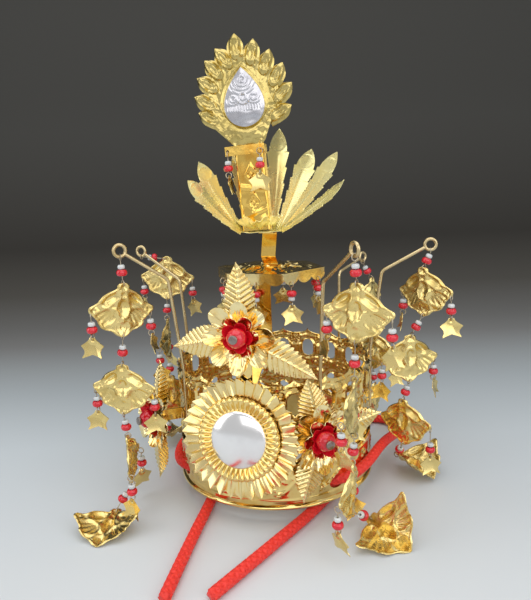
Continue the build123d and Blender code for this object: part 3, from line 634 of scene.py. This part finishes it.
for flower, (hub, angles, lengths, curls) in flowers.items():
    leaves = []
    for number, (angle, length, curl) in enumerate(zip(angles, lengths, curls)):
        shape = fern_leaf(length, curl, number + 3 * len(flower))
        leaves.append(pressed_sheet("fern", 28, leaf_teeth * 9, shape, turned(hub, z=angle - 90)))
    dress(join(flower + "_fern_leaves", leaves), gilt_leaf, flower + "_leaves")

# %% [markdown]
# Between the leaves sit crumpled petals: a wide gold cup, a smaller one inside it and five red petals of
# foil. They are one rule with other numbers, and noise crumples them.


# %% Petals
def petal_cup(radius, depth, lobes, notch, crumple, ribs, start, seed):
    def shape(u, v):
        angle = u * pi
        lobe = abs(cos(angle * lobes / 2))
        edge = radius * (1 - notch + notch * lobe ** 0.7)
        which = math.floor(angle * lobes / (2 * pi) + 0.5) % lobes
        uneven = noise_at(which * 5.3, seed, 0)
        reach = 1.6 + (edge * (1 + 0.1 * uneven) - 1.6) * v
        ribbing = 0.35 * cos(angle * ribs) * v
        fold = crumple * noise_at(cos(angle) * 3, sin(angle) * 3, v * 2.5 + seed) * v
        curl = depth * (v ** 1.6) * (1 + 0.5 * uneven)
        return polar(reach, angle, start + curl + ribbing + fold + 1.2 * lobe * v * v)

    return shape


for number, (flower, (hub, *_)) in enumerate(flowers.items()):
    wide = petal_cup(25, 4.5, 8, 0.32, 3.4, 56, 1.5, 1.7 + number)
    inner = petal_cup(15.5, 5, 6, 0.4, 3, 42, 2.6, 4.2 + number)
    red = petal_cup(11, 4.5, 5, 0.3, 1.4, 60, 4.2, 6.9 + number)
    cups = [
        pressed_sheet("cup", 144, 12, wide, hub, sharp=60),
        pressed_sheet("cup", 126, 10, inner, hub, sharp=60),
    ]
    dress(join(flower + "_gold_petals", cups), gilt_petal_painted_glare, flower + "_petals")
    petals = pressed_sheet(flower + "_foil_petals", 150, 12, red, hub, 0.3, 60)
    dress(petals, red_foil, flower + "_red_petals", slot="red_foil")

# %% [markdown]
# A red glass bead is threaded on a pin at the middle of each flower. It starts as a sphere, is pressed a
# little flat at its holes, and a small grey washer closes it.

# %% Flower beads
bead_radius, bead_level = 7, 10
washer_radius, washer_depth, washer_level = 3.1, 1.8, 17.7
deselect()
bpy.ops.mesh.primitive_uv_sphere_add(segments=48, ring_count=24, radius=bead_radius * mm)
ball = bpy.context.object
bpy.ops.object.shade_smooth()
ball.data.transform(Matrix.Diagonal((1, 1, 0.97, 1)))
deselect()
bpy.ops.mesh.primitive_cylinder_add(vertices=32, radius=washer_radius * mm, depth=washer_depth * mm)
disc = bpy.context.object
bpy.ops.object.mode_set(mode="EDIT")
bpy.ops.mesh.select_all(action="SELECT")
bpy.ops.mesh.bevel(offset=0.45 * mm, segments=3, affect="EDGES")
bpy.ops.object.mode_set(mode="OBJECT")
bpy.ops.object.shade_smooth_by_angle(angle=radians(40))
for flower, (hub, *_) in flowers.items():
    bead = copy_to(ball, flower + "_red_bead", hub @ Matrix.Translation((0, 0, bead_level)))
    dress(bead, red_glass, flower + "_bead", slot="red_bead")
    washer = copy_to(disc, flower + "_pin_washer", hub @ Matrix.Translation((0, 0, washer_level)))
    dress(washer, washer_grey, slot="hook_wire")
discard(ball, disc)

# %% [markdown]
# The string plates are butterflies stamped in one blow: a lip along the edge, a knob at the top, two leaves
# under it, a drop in the middle and two feathered wings. No two are bent alike, so each is pressed by itself.
# The outline's rows hold a height and the half width there, as shares of the plate's size, from foot to knob.

# %% Stamped plate
plate_half = [
    (-0.935, 0.03), (-0.925, 0.1), (-0.89, 0.2), (-0.85, 0.26), (-0.82, 0.34), (-0.8, 0.5), (-0.76, 0.62),
    (-0.7, 0.68), (-0.63, 0.72), (-0.58, 0.8), (-0.53, 0.88), (-0.48, 0.97), (-0.43, 1.00), (-0.38, 0.96),
    (-0.35, 0.84), (-0.3, 0.72), (-0.25, 0.66), (-0.19, 0.59), (-0.13, 0.46), (-0.08, 0.3), (-0.06, 0.21),
    (-0.03, 0.19), (0, 0.19), (0.03, 0.17), (0.055, 0.1), (0.065, 0.02),
]
plate_width, plate_height, knob_top = 48, 39, 0.065
feathers = 28


def plate_relief(x, y, half):
    side = abs(x)
    height = 0.8 * ridge(half - side - 1.2, 0.9)
    height += 0.8 * ridge(oval(side, y, 0, -1, 2.9, 2.7), 0.9) - 0.8 * ridge(hypot(side, y + 0.5), 1)
    height += 1.15 * ridge(oval(side, y, 9, -9.6, 7.4, 3.7, -38), 1)
    height -= 1.3 * pit(side, y, 9.3, -8.8, 2.8, 1, -38)
    height += 1.15 * ridge(oval(side, y, 0, -16, 4.8, 7.2), 1) - 1.4 * pit(side, y, 0, -14, 1.2, 2.6)
    fan = oval(side, y, 12.2, -22.5, 9, 6, -20)
    height += 0.9 * ridge(fan, 1.1)
    if fan < 0:
        spread = degrees(atan2(y + 12, side - 3))
        height += 0.55 * cos(radians(spread * feathers)) * min(1, -fan / 1.5)
    height += 0.8 * ridge(oval(side, y, 0, -30, 5.6, 4.8), 1) - 0.8 * pit(side, y, 0, -29.6, 0.8, 1.2)
    return height + 0.7 * ridge(oval(side, y, 20.5, -17, 2.4, 1.7), 0.8)


def stamped_plate(plane, fold, curl, seed):
    slope = tan(radians(fold))

    def shape(u, v):
        share = knob_top - v
        half = table_value(plate_half, share) * plate_width / 2
        x, y = u * half, share * plate_height
        z = -abs(x) * slope + 0.4 + plate_relief(x, y, half)
        z += 1.9 * noise_at(x * 0.06, y * 0.06, seed) + curl * (abs(x) / 24) ** 3
        return (x, y, z)

    return pressed_sheet("plate", 48, 44, shape, plane, sharp=60)


# %% [markdown]
# Small stars hang under the plates. Each is cut with five points and dented a little, so that its arms are
# not in one plane.

# %% Star
star_half = [
    (0, 0.1), (0.12, 0.17), (0.24, 0.29), (0.34, 0.43), (0.41, 0.52), (0.52, 0.43), (0.66, 0.35),
    (0.8, 0.35), (0.92, 0.41), (1, 0.42),
]
star_size, star_top, star_length, foot_notch = 17.5, 2, 14.5, 2.4


def star_shape(u, v):
    x = u * table_value(star_half, v) * star_size
    y = star_top - star_length * v + foot_notch * (1 - abs(u)) * max(0, v - 0.6) / 0.4
    dent = 0.5 * ridge(hypot(x, y) - 2, 0.8) + 0.16 * abs(x + 0.35 * y) + 0.03 * y * y / 2
    return (x, y, dent)


star_master = pressed_sheet("star_master", 16, 26, star_shape, sharp=30)

# %% [markdown]
# Seed beads are short lengths of glass tube, rounded in the fire. The master is a torus, scaled so that its
# hole almost closes round the wire.


# %% Seed beads
def seed_bead(name, radius, length, finish):
    deselect()
    tube = (radius - 0.5) / 2
    bpy.ops.mesh.primitive_torus_add(
        major_radius=(radius - tube) * mm, minor_radius=tube * mm, major_segments=28, minor_segments=14)
    ring = bpy.context.object
    ring.name = name
    ring.data.transform(Matrix.Diagonal((1, 1, length / 2 / tube, 1)))
    bpy.ops.object.shade_smooth()
    ring.data.materials.append(finish)
    return ring


red_seed = seed_bead("red_seed", 3.85, 4.6, red_glass)
white_seed = seed_bead("white_seed", 2.6, 3.3, white_glass)
blue_seed = seed_bead("blue_seed", 2.6, 3.3, blue_glass)

# %% [markdown]
# A bead sits on the wire between two eyes. The eyes hang in their holes, and the beads rest part of the way
# up the straight wire between them.

# %% Places of the beads
eye_radius, eye_wire, gap = 2.2, 0.4, 0.3
red_length, white_length = 4.6, 3.4


def across(direction, normal):
    return (direction - normal * direction.dot(normal)).normalized()


def beads_between(top, bottom, top_axis, bottom_axis, lowest="red", lift=0.5, light=white_seed):
    run = bottom - top
    start = top + across(run, top_axis) * eye_radius
    end = bottom - across(run, bottom_axis) * eye_radius
    line = (end - start).normalized()
    order = [(red_seed, red_length), (light, white_length)]
    if lowest == "white":
        order.reverse()
    free = (end - start).length - 2 * eye_wire - red_length - white_length - 1.5 * gap
    spot = end - line * (eye_wire + gap / 2 + lift * free)
    beads = []
    for master, length in order:
        plane = plane_at(spot - line * length / 2, line.orthogonal(), line)
        lean = 9 * noise.noise(spot * 0.37)
        beads.append(copy_to(master, "seed", turned(plane, y=lean)))
        spot = spot - line * (length + gap / 2)
    return beads


def beads_on_link(
        upper, lower, upper_normal, lower_normal, lowest="red", lift=0.5, way=None, light=white_seed):
    run = lower - upper
    top_way = across(run, upper_normal)
    bottom_way = across(run, lower_normal) if way is None else way
    return beads_between(
        upper + top_way * eye_radius, lower - bottom_way * eye_radius,
        top_way.cross(upper_normal), bottom_way.cross(lower_normal), lowest, lift, light)


def small_drop(hole, normal, star_az, length=20, lowest="red", light=white_seed):
    """Two beads and a star on the wire under a hole."""
    end = hole - Vector((0, 0, length))
    beads = beads_on_link(hole, end, normal, heading(star_az), lowest, 0, light=light)
    return beads, copy_to(star_master, "star", facing(end, star_az))


# %% [markdown]
# Each string has its plates from the top down. A row holds a plate's hole, the azimuth that it faces, its
# roll and, where they aren't the usual ones, its drops' lengths and the turn of their stars. The last plate
# of most strings lies on the floor: its row holds the hole, the azimuth that it points to, its droop, its
# roll and its fold. A hook's row holds its azimuth, its reach and its height.

# %% Strings
hooks = {
    "a": (42, 122, 200), "b": (149, 120, 172), "c": (97, 125.5, 192),
    "d": (-43, 121, 200), "e": (-94, 121, 189),
}
hanging = {
    "a": [
        ((82.5, -89.3, 177), -13, -2), ((80.4, -90, 114.5), 88, 0, 20, 20, -50),
        ((78.6, -90.5, 57.5), 85, 0, 20, 20, -50),
    ],
    "b": [
        ((70, 106, 149.5), 68, -4), ((71, 106.6, 96.5), -20, 0, 0, 20, 50),
        ((71.5, 107, 43.4), 75, 0, 0, 0, 50),
    ],
    "c": [
        ((119.3, 13.5, 172.5), -33, 2), ((110.5, 10.7, 118.9), 26, 0),
        ((105, 9, 65.5), -28, 3, 0, 26, 50),
    ],
    "d": [
        ((-81.8, -88.7, 175), 51, -6), ((-87.4, -90.5, 115.6), 12, -4, 20, 20, 8),
        ((-88, -90.5, 60), -70, 0),
    ],
    "e": [
        ((-101, 18, 181), 17, -4), ((-103.4, 14.6, 125.3), 106, 0),
        ((-104.5, 14.2, 71), 40, 0, 0, 0, 50),
    ],
}
lying = {
    "a": ((89.5, -67.3, 4.6), 50, 7, -33, -36),
    "c": ((101, 26, 9.6), 55, 13, 0, -35),
    "d": ((-97.1, -101.4, 4), 10, 7, 0, -20),
    "e": ((-112.5, 12, 12.6), 178, 18, 0, -37),
}
plate_fold = 12
side_hole = (24 * 0.93, -39 * 0.47)
bottom_hole = Vector((0, -39 * 0.87, 0))
for name, rows in hanging.items():
    azimuth, out, height = hooks[name]
    first_eye = around(out, azimuth, height - 4.2 - 0.4)
    plates, beads, upper, upper_normal = [], [], None, None
    for number, (hole, facing_az, roll, *drops) in enumerate(rows):
        left_drop, right_drop, star_turn = drops or (20, 20, 50)
        plane = facing(Vector(hole), facing_az, 0, roll)
        plates.append(stamped_plate(plane, plate_fold, 1.5, 1.7 * number + 5.1 * (ord(name) - 96)))
        origin = plane.translation
        if upper is None:
            run = (origin - first_eye).normalized()
            eye_axis = run.cross(heading(facing_az)).normalized()
            beads += beads_between(first_eye, origin - run * eye_radius, heading(azimuth), eye_axis)
        else:
            beads += beads_on_link(upper, origin, upper_normal, heading(facing_az))
        upper = plane @ bottom_hole
        upper_normal = heading(facing_az)
        for side, length in ((-1, left_drop), (1, right_drop)):
            if length:
                side_plane = turned(plane, y=side * plate_fold)
                spot = side_plane @ Vector((side * side_hole[0], side_hole[1], 0.4))
                light = blue_seed if name == "a" and number == 1 and side == 1 else white_seed
                seeds, star = small_drop(
                    spot, side_plane.to_3x3().col[2], facing_az + side * star_turn, length, light=light)
                beads += seeds
                plates.append(star)
    if name in lying:
        hole, point_az, droop, roll, fold = lying[name]
        hole = Vector(hole)
        forward = heading(point_az) * cos(radians(droop)) - upright * sin(radians(droop))
        plane = turned(along(hole, hole - forward, upright), y=roll)
        plates.append(stamped_plate(plane, fold, 2.5, 3.3 * ord(name)))
        beads += beads_on_link(upper, hole, upper_normal, plane.to_3x3().col[2], way=forward)
    string = "string_" + name
    dress(join(string + "_stamped", plates), gilt_stamped, string + "_plates")
    dress(join(string + "_seeds", beads), None, string + "_beads", slot="seed_beads")

# %% [markdown]
# The canopy is a six-sided plate with a scalloped skirt. Its top is crumpled between a few pressed rays, and
# its skirt catches the light as a bright strip.

# %% Canopy
canopy_height, canopy_radius, skirt_depth = 176, 45, 9
side_middle = canopy_radius * cos(radians(30))
lobe_width = 15
skin = 0.4


def hexagon(angle):
    """Angle from the middle of the nearest side, and how far the side is there."""
    folded = (angle + 30) % 60 - 30
    return folded, side_middle / cos(radians(folded))


def canopy_top(u, v):
    angle = u * 180
    reach = hexagon(angle)[1] * v
    x, y = heading(angle).x * reach, heading(angle).y * reach
    ray = 0.84 * ridge(sin(radians(angle * 3)) * reach * 0.3, 1.6) * sin(pi * v)
    crumple = 4 * noise_at(x * 0.11, y * 0.11, 2.2) + 2.2 * noise_at(x * 0.28, y * 0.28, 6.1)
    return (x, y, canopy_height + skin + ray + crumple * (1 - v ** 4))


def canopy_skirt(u, v):
    angle = u * 180
    folded, edge = hexagon(angle)
    lobe = abs(cos(pi * tan(radians(folded)) * side_middle / lobe_width))
    drop = skirt_depth * (0.55 + 0.45 * lobe ** 0.6)
    reach = edge - skin + 0.6 * noise_at(angle * 0.06, v, 5) * v
    return (heading(angle).x * reach, heading(angle).y * reach, canopy_height + skin - drop * v)


canopy_pieces = [
    pressed_sheet("top", 180, 18, canopy_top, sharp=40),
    pressed_sheet("skirt", 240, 5, canopy_skirt, sharp=40),
]
dress(join("canopy_sheet", canopy_pieces), gilt_leaf, "canopy_plate")

# %% [markdown]
# Each drop of the canopy is named by its side and by the lobe of the skirt that it hangs from.

# %% Canopy drops
drops = [(0, 0), (0, 1), (1, 0), (1, 2), (2, 1), (3, 1), (4, 1), (5, 1), (5, 2)]
beads, stars = [], []
for side_index, lobe in drops:
    azimuth = side_index * 60
    edge = facing(around(side_middle - skin, azimuth, canopy_height), azimuth)
    hole = edge @ Vector(((lobe - 1) * lobe_width, -skirt_depth * 0.65, 0))
    seeds, star = small_drop(hole, heading(azimuth), azimuth + 50 * (lobe - 1) + 20, lowest="white")
    beads += seeds
    stars.append(star)
dress(join("canopy_seeds", beads), None, "canopy_beads", slot="seed_beads")
dress(join("canopy_small_stars", stars), gilt_stamped, "canopy_stars")

# %% [markdown]
# Lotus leaves rise round the stem. Each has stepped teeth, a fine hatch and a smooth pointed tip with two
# arcs pressed across it. A leaf's row holds the place of its tip, the tip's rise over the hub and the azimuth
# that the leaf faces.

# %% Lotus leaves
lotus_height, hub_radius, hub_x = 205, 18, -6
hub_level = lotus_height + 0.3 + 0.8
hub_center = Vector((hub_x, 0, lotus_height + 0.3))
leaf_tips = [
    (3.2, 32.5, 82, 5), (29.3, 35.4, 64.5, -5), (53.1, 22, 59.5, -35), (61, 3.5, 37.5, -70),
    (-53, -32.4, 42, 80), (-54.4, -6.7, 56.5, 57), (-29.6, 20, 70.7, 38),
]
tip_start, hatch_end, tooth_step, hatch_step = 0.77, 0.74, 0.154, 1.9


def lotus_leaf(length, curl, seed):
    def shape(u, v):
        y = v * length
        if v < tip_start:
            envelope = 3.4 + 6 * (v / tip_start) ** 0.8
            half = envelope * (0.8 + 0.2 * ((v + 0.15) / tooth_step % 1))
        else:
            half = 7.4 * (1 - ((v - tip_start) / (1 - tip_start)) ** 2.4)
        x = abs(u) * half
        hatch = 0.24 * cos(2 * pi * (y - x * 0.8) / hatch_step) * min(1, x / 1.2) + 0.3 * ridge(x, 0.8)
        ring = hypot(x, y - length * 0.85)
        arc = 0.25 * ridge(ring - 6.6, 0.6) * (v < 0.85) + 0.3 * ridge(ring - 4.6, 0.7) * (v > 0.9)
        z = 0.6 - 0.02 * x + hatch * (v < hatch_end) + arc - curl * sin(pi * v)
        return (copysign(x, u) if u else 0, y, z + 1.2 * noise_at(u * 0.5, v * 2, seed))

    return shape


leaves = []
for number, (x, y, rise, azimuth) in enumerate(leaf_tips):
    stalk = hub_center + Vector((x - hub_x, y, 0)).normalized() * (hub_radius - 0.8)
    tip = Vector((x, y, lotus_height + rise))
    shape = lotus_leaf((tip - stalk).length, 1.5, number * 2.3)
    leaves.append(pressed_sheet("lotus", 14, 130, shape, along(stalk, tip, heading(azimuth))))


def lotus_hub(u, v):
    angle = u * pi
    reach = hub_radius * v
    dent = 0.7 * noise_at(cos(angle) * 2, sin(angle) * 2, v * 2)
    return (hub_x + reach * cos(angle), reach * sin(angle), lotus_height + 0.7 + dent * v)


leaves.append(pressed_sheet("hub", 72, 12, lotus_hub))
collar_plane = plane_at(Vector((-7.3, -4, hub_level)), Vector((1, 0, 0)), upright)
collar = petal_cup(19, 9, 6, 0.25, 5, 24, 0.2, 12.4)
leaves.append(pressed_sheet("collar", 120, 12, collar, collar_plane))
dress(join("lotus_stamped", leaves), gilt_pale_painted_highlight, "lotus_leaves")

# %% [markdown]
# The stem is one strap folded into a channel, with two lozenges and two creases pressed into its face.

# %% Stem
stem_height, stem_width, stem_depth, stem_lean, jewel_azimuth = 66, 22, 12, 3.5, 8
corner = 1.5
flat = stem_width / 2 - corner
corner_end = flat + corner * pi / 2
lozenges = ((0.66, 8), (0.33, 9))
stem_base = Vector((-7.3, -4, hub_level + 0.3))
stem_top = stem_base + Vector((-stem_height * tan(radians(stem_lean)), 0, stem_height))
stem_plane = turned(plane_at(stem_base, Vector((1, 0, 0)), stem_top - stem_base), z=jewel_azimuth)


def stem_motif(x, z):
    motif = 0
    for center, size in lozenges:
        dz = z - stem_height * center
        lozenge = abs(x) + abs(dz) * 0.62 - size * 0.55
        motif += 0.6 * ridge(lozenge, 0.8)
        if lozenge < -0.8:
            motif += 0.5 * cos(x * 1.5) * cos(dz * 1.2)
    return motif + 1 * ridge(z - 33 + 0.2 * x, 1.2) + 0.6 * ridge(z - 14 - 0.3 * x, 1.5)


def stem_shape(u, v):
    reach = u * (stem_width / 2 + stem_depth)
    z = 0.5 + (stem_height - 0.5) * v
    side = abs(reach)
    x, y = side, -stem_depth / 2
    if side >= corner_end:
        x, y = stem_width / 2, corner - stem_depth / 2 + side - corner_end
    elif side >= flat:
        turn = (side - flat) / corner
        x, y = flat + corner * sin(turn), corner * (1 - cos(turn)) - stem_depth / 2
    x = copysign(x, reach)
    if side < flat:
        y += 1.5 * noise_at(x * 0.08, z * 0.07, 0.5) - stem_motif(x, z)
    return (x, y, z)


stem = pressed_sheet("folded_stem", 70, 90, stem_shape, stem_plane, 0.6)
dress(stem, gilt_deep_painted_shade, "jewel_stem")

# %% [markdown]
# The jewel's frame has eleven petals with nested ovals, and a dished ring that holds a silver drop. A petal's
# row holds the place of its tip on the frame and its lean. The neck narrows to the stem, and its rows hold a
# share of the way down, then the half widths to the left and to the right.

# %% Jewel frame
jewel_radius, stone_width, stone_height, stone_shift = 36, 31, 43, -8.4
frame_foot = jewel_radius * 1.04
frame_center = stem_plane @ Vector((0, -stem_depth / 2 + 1.9, stem_height + frame_foot))
axes = stem_plane.to_3x3()
jewel_plane = plane_at(frame_center, axes.col[0], -axes.col[1])
petal_length, petal_half = 20, 6.2
petal_rows = [
    (-2.7, 43.4, 2), (11.2, 37.8, 13), (22.6, 29.1, 22), (31.6, 18.5, 32), (37.2, 3.7, 50),
    (35.5, -12.2, 65), (-18.3, 34.8, -35), (-27.2, 27.3, -40), (-34.5, 15.6, -52), (-38, 2.4, -56),
    (-36.2, -9.6, -60),
]
petal_outline = [(0, 0.03), (0.05, 0.24), (0.14, 0.52), (0.28, 0.86), (0.42, 1), (0.7, 1.02), (1, 0.9)]
dish_radius, neck_top = 27, 15
neck_rows = [(0, 24, 22), (0.25, 27, 19.5), (0.85, 13.5, 13.5), (1, 10.8, 10.8)]


def jewel_petal(seed):
    def shape(u, v):
        half = petal_half * table_value(petal_outline, v)
        x, y = u * half, -petal_length * v
        lens = oval(x, y, 0, -10.4, 3.3, 7)
        z = 1.2 - 0.8 * (abs(x) / half) ** 4 + 1.5 * ridge(lens, 0.9)
        z += 1.1 * ridge(oval(x, y, 0, -10.4, 1.5, 4.6), 0.7) - 0.5 * (lens < 0)
        z += 0.5 * noise_at(x * 0.2, y * 0.2, seed) - 2.2 * max(0, v - 0.75) / 0.25
        return (x, y, z)

    return shape


def drop_radius(angle, width, height):
    """Reach of a drop's outline, with full sides and a pointed top, at an angle from straight up."""
    radius = width / 2
    top = height - radius
    turn = abs(angle)
    if turn >= pi / 2:
        return radius
    low, high = 0, top
    for _ in range(24):
        reach = (low + high) / 2
        if reach * sin(turn) < radius * (1 - (reach * cos(turn) / top) ** 1.8):
            low = reach
        else:
            high = reach
    return reach


def dished_ring(u, v):
    angle = u * pi
    direction = Vector((sin(angle), cos(angle)))
    start = direction * drop_radius(angle, stone_width - 0.6, stone_height - 0.6) + Vector((0, stone_shift))
    spot = start.lerp(direction * dish_radius, v)
    hammered = 1.3 * noise_at(spot.x * 0.45, spot.y * 0.45, 7)
    return (spot.x, spot.y, 1.5 + 0.9 * ridge(v - 0.1, 0.08) - 1.4 * sin(pi * v) + hammered * v)


def neck(u, v):
    y = -neck_top - (frame_foot - neck_top + 0.4) * v
    side = 1 if u < 0 else 2
    x = u * table_value([(row[0], row[side]) for row in neck_rows], v)
    bowl = 2.4 * sin(pi * v) * (1 - u * u) + 0.9 * ridge(abs(u) - 0.93, 0.08)
    clear = min(1, max(0, (hypot(x, y - stone_shift) - stone_width / 2) / 4))
    return (x, y, 0.3 + (0.3 + bowl + 0.9 * noise_at(x * 0.3, y * 0.3, 3)) * clear)


frame_pieces = []
for tip_x, tip_y, tip_lean in petal_rows:
    spot = turned(jewel_plane @ Matrix.Translation((tip_x, tip_y, 0)), z=-tip_lean)
    frame_pieces.append(pressed_sheet("petal", 22, 36, jewel_petal(tip_x), spot, 0.5))
frame_pieces.append(pressed_sheet("dish", 180, 14, dished_ring, jewel_plane, 0.5))
frame_pieces.append(pressed_sheet("neck", 30, 36, neck, jewel_plane, 0.5))
dress(join("jewel_flame", frame_pieces), gilt_olive, "jewel_frame")

# %% [markdown]
# The drop is silver foil. Rings round a boss fill its point, three small rings with scallops under them cross
# its middle over a hatched line, and it is left plain below.

# %% Silver drop
boss_height, row_height, line_width = 19, 6, 0.55


def stone_relief(x, y):
    height = 0.8 * ridge(oval(x, y, 0, boss_height, 2.3, 2.3), 0.6)
    if y < boss_height:
        height += sum(0.7 * ridge(hypot(x, y - boss_height) - size, 0.6) for size in (5.2, 8, 10.8))
    for cx in (-8, 0, 8):
        height += 0.8 * ridge(oval(x, y, cx, row_height - abs(cx) * 0.1, 2.2, 2.2), line_width)
        if y < row_height - 1:
            height += 0.7 * ridge(hypot(x - cx, y - row_height) - 5, line_width)
    if 0 > y > -4:
        height += 0.15 * cos(x * 3)
    if y < -4:
        height += 0.7 * noise_at(x * 0.14, y * 0.14, 9)
    return height


def stone(u, v):
    angle = u * pi
    reach = drop_radius(angle, stone_width, stone_height) * v
    x, y = sin(angle) * reach, cos(angle) * reach
    z = 2.3 + 1.6 * (1 - v ** 2.4) + stone_relief(x, y) * (1 - v ** 8)
    return (x, y + stone_shift, z)


silver_drop = pressed_sheet("silver_drop", 140, 48, stone, jewel_plane, 0.3, 60)
dress(silver_drop, silver, "jewel_stone", slot="silver_plate")

# %% [markdown]
# Two drops hang from the band under the jewel, as they do from the canopy.

# %% Stem drops
band_plane = stem_plane @ Matrix.Translation((0, 0, stem_height - 7))
ears = [
    (band_plane @ Vector((-16.6, -6.7, 3.5)), band_plane.to_3x3().col[1], 95),
    (band_plane @ Vector((9, -10.7, 3.5)), band_plane.to_3x3().col[0], jewel_azimuth),
]
beads, stars = [], []
for hole, normal, star_az in ears:
    seeds, star = small_drop(hole, normal, star_az)
    beads += seeds
    stars.append(star)
dress(join("stem_seeds", beads), None, "stem_beads", slot="seed_beads")
dress(join("stem_small_stars", stars), gilt_stamped, "stem_stars")
discard(star_master, red_seed, white_seed, blue_seed)

# %% [markdown]
# The cord is braided from bright red thread. Its line is one smooth spline, and the braid is a tube whose
# surface rises and falls where the strands cross over each other. A point's row holds its distance outside
# the wall, its azimuth and its height, from the free end to the knot inside the band. Where the row gives no
# height, the cord lies on the floor.

# %% Cord
cord_radius, cord_sides, braid_pitch, strands, braid_step = 4, 30, 5.6, 5, 0.7
floor_level = 4.05
cord_rows = {
    "right": [
        (88.1, 2.1), (38.2, 13.4), (-2.8, 40.7), (-17.5, 82.4), (-12.8, 125.6), (12.8, 151.7), (39.2, 154.7),
        (58.9, 148.7), (65.1, 138.4, 6), (53.5, 129.1, 9), (30.3, 118.7, 17), (10.8, 97.8, 26),
        (6.4, 71.4, 25), (4.2, 53.4, 23), (-10.1, 42.6, 20),
    ],
    "left": [
        (98.1, -6.5), (45.2, -13.1), (-6.4, -28.4), (-32.4, -74.7), (-21.9, -129.9), (8.3, -153.1),
        (35.2, -155.5), (55.6, -149.4), (62.4, -139, 5), (52.7, -129.4, 8), (28.6, -119.2, 13),
        (11.9, -100.2, 17), (7.4, -71.6, 20), (4, -52.4, 20), (-11.4, -41.3, 18),
    ],
}
cord_red = sheet_metal(
    "cord_red", (0.9, 0.04, 0.024), (0.66, 0.016, 0.01), 0.5, 0.75, 900, 0.12, 500, 0)
fill(cord_red.node_tree.nodes["Principled BSDF"], Sheen_Weight=0.12, Sheen_Roughness=0.4)


def spline_points(name, points):
    curve = bpy.data.curves.new(name, "CURVE")
    curve.dimensions = "3D"
    curve.resolution_u = 24
    spline = curve.splines.new("NURBS")
    spline.points.add(len(points) - 1)
    for point, place in zip(spline.points, points):
        point.co = (*[c * mm for c in place], 1)
    spline.order_u = 3
    spline.use_endpoint_u = True
    holder = new_object(name, curve)
    bpy.context.view_layer.update()
    mesh = bpy.data.meshes.new_from_object(holder)
    line = [vertex.co.copy() / mm for vertex in mesh.vertices]
    discard(holder)
    return line


def even_steps(line, step):
    """Points at even steps along a line."""
    spaced = [line[0]]
    left = step
    for here, there in zip(line, line[1:]):
        length = (there - here).length
        done = 0
        while length - done >= left:
            done += left
            spaced.append(here.lerp(there, done / length))
            left = step
        left -= length - done
    return spaced


def braided_tube(name, line):
    last = len(line) - 1
    tangents = [(line[min(i + 1, last)] - line[max(i - 1, 0)]).normalized() for i in range(len(line))]
    across_line = tangents[0].orthogonal().normalized()
    points, travelled = [], 0
    for index, (center, tangent) in enumerate(zip(line, tangents)):
        across_line = (across_line - tangent * across_line.dot(tangent)).normalized()
        other = tangent.cross(across_line)
        if index:
            travelled += (center - line[index - 1]).length
        for side in range(cord_sides):
            angle = 2 * pi * side / cord_sides
            first = cos(strands * angle + 2 * pi * travelled / braid_pitch)
            second = cos(strands * angle - 2 * pi * travelled / braid_pitch)
            reach = cord_radius * (0.86 + 0.17 * max(first, second))
            points.append((center + (across_line * cos(angle) + other * sin(angle)) * reach) * mm)
    faces = []
    for start in range(0, last * cord_sides, cord_sides):
        for side in range(cord_sides):
            here, there = start + side, start + (side + 1) % cord_sides
            faces.append((here, here + cord_sides, there + cord_sides, there))
    faces.append(tuple(range(cord_sides)))
    faces.append(tuple(reversed(range(last * cord_sides, len(points)))))
    mesh = bpy.data.meshes.new(name)
    mesh.from_pydata(points, [], faces)
    piece = new_object(name, mesh)
    deselect()
    piece.select_set(True)
    bpy.context.view_layer.objects.active = piece
    clean()
    bpy.ops.object.shade_smooth()
    return piece


for side, rows in cord_rows.items():
    route = [around(ring_radius + row[0], row[1], row[2] if row[2:] else floor_level) for row in rows]
    line = spline_points("cord_line", list(reversed(route)))
    length = sum((b - a).length for a, b in zip(line, line[1:]))
    piece = braided_tube("braided_cord_" + side, even_steps(line, braid_step))
    dress(piece, cord_red, "cord_" + side, slot="red_cord")
    paint(nodes["knot_" + side], cord_red)
    print("cord", side, round(length), "mm")

# %% [markdown]
# Everything that is still plain CAD gets its finish: the sun's back disc, straps, brackets, hooks and wires.

# %% Finishes of the plain pieces
plain = {
    "sun_rays_outer": gilt_leaf, "canopy_strap": gilt_deep_painted_shade, "jewel_strap": gilt_deep_painted_shade, "jewel_band": gilt_deep_painted_shade,
    "crest_bracket": gilt, "right_bracket": gilt, "left_bracket": gilt,
    "canopy_wires": iron_wire, "stem_wires": iron_wire,
}
for name in hooks:
    plain["hook_" + name] = wire_finish
    plain["string_" + name + "_wires"] = iron_wire
for name, finish in plain.items():
    paint(nodes[name], finish)
print("plain pieces", len(plain))
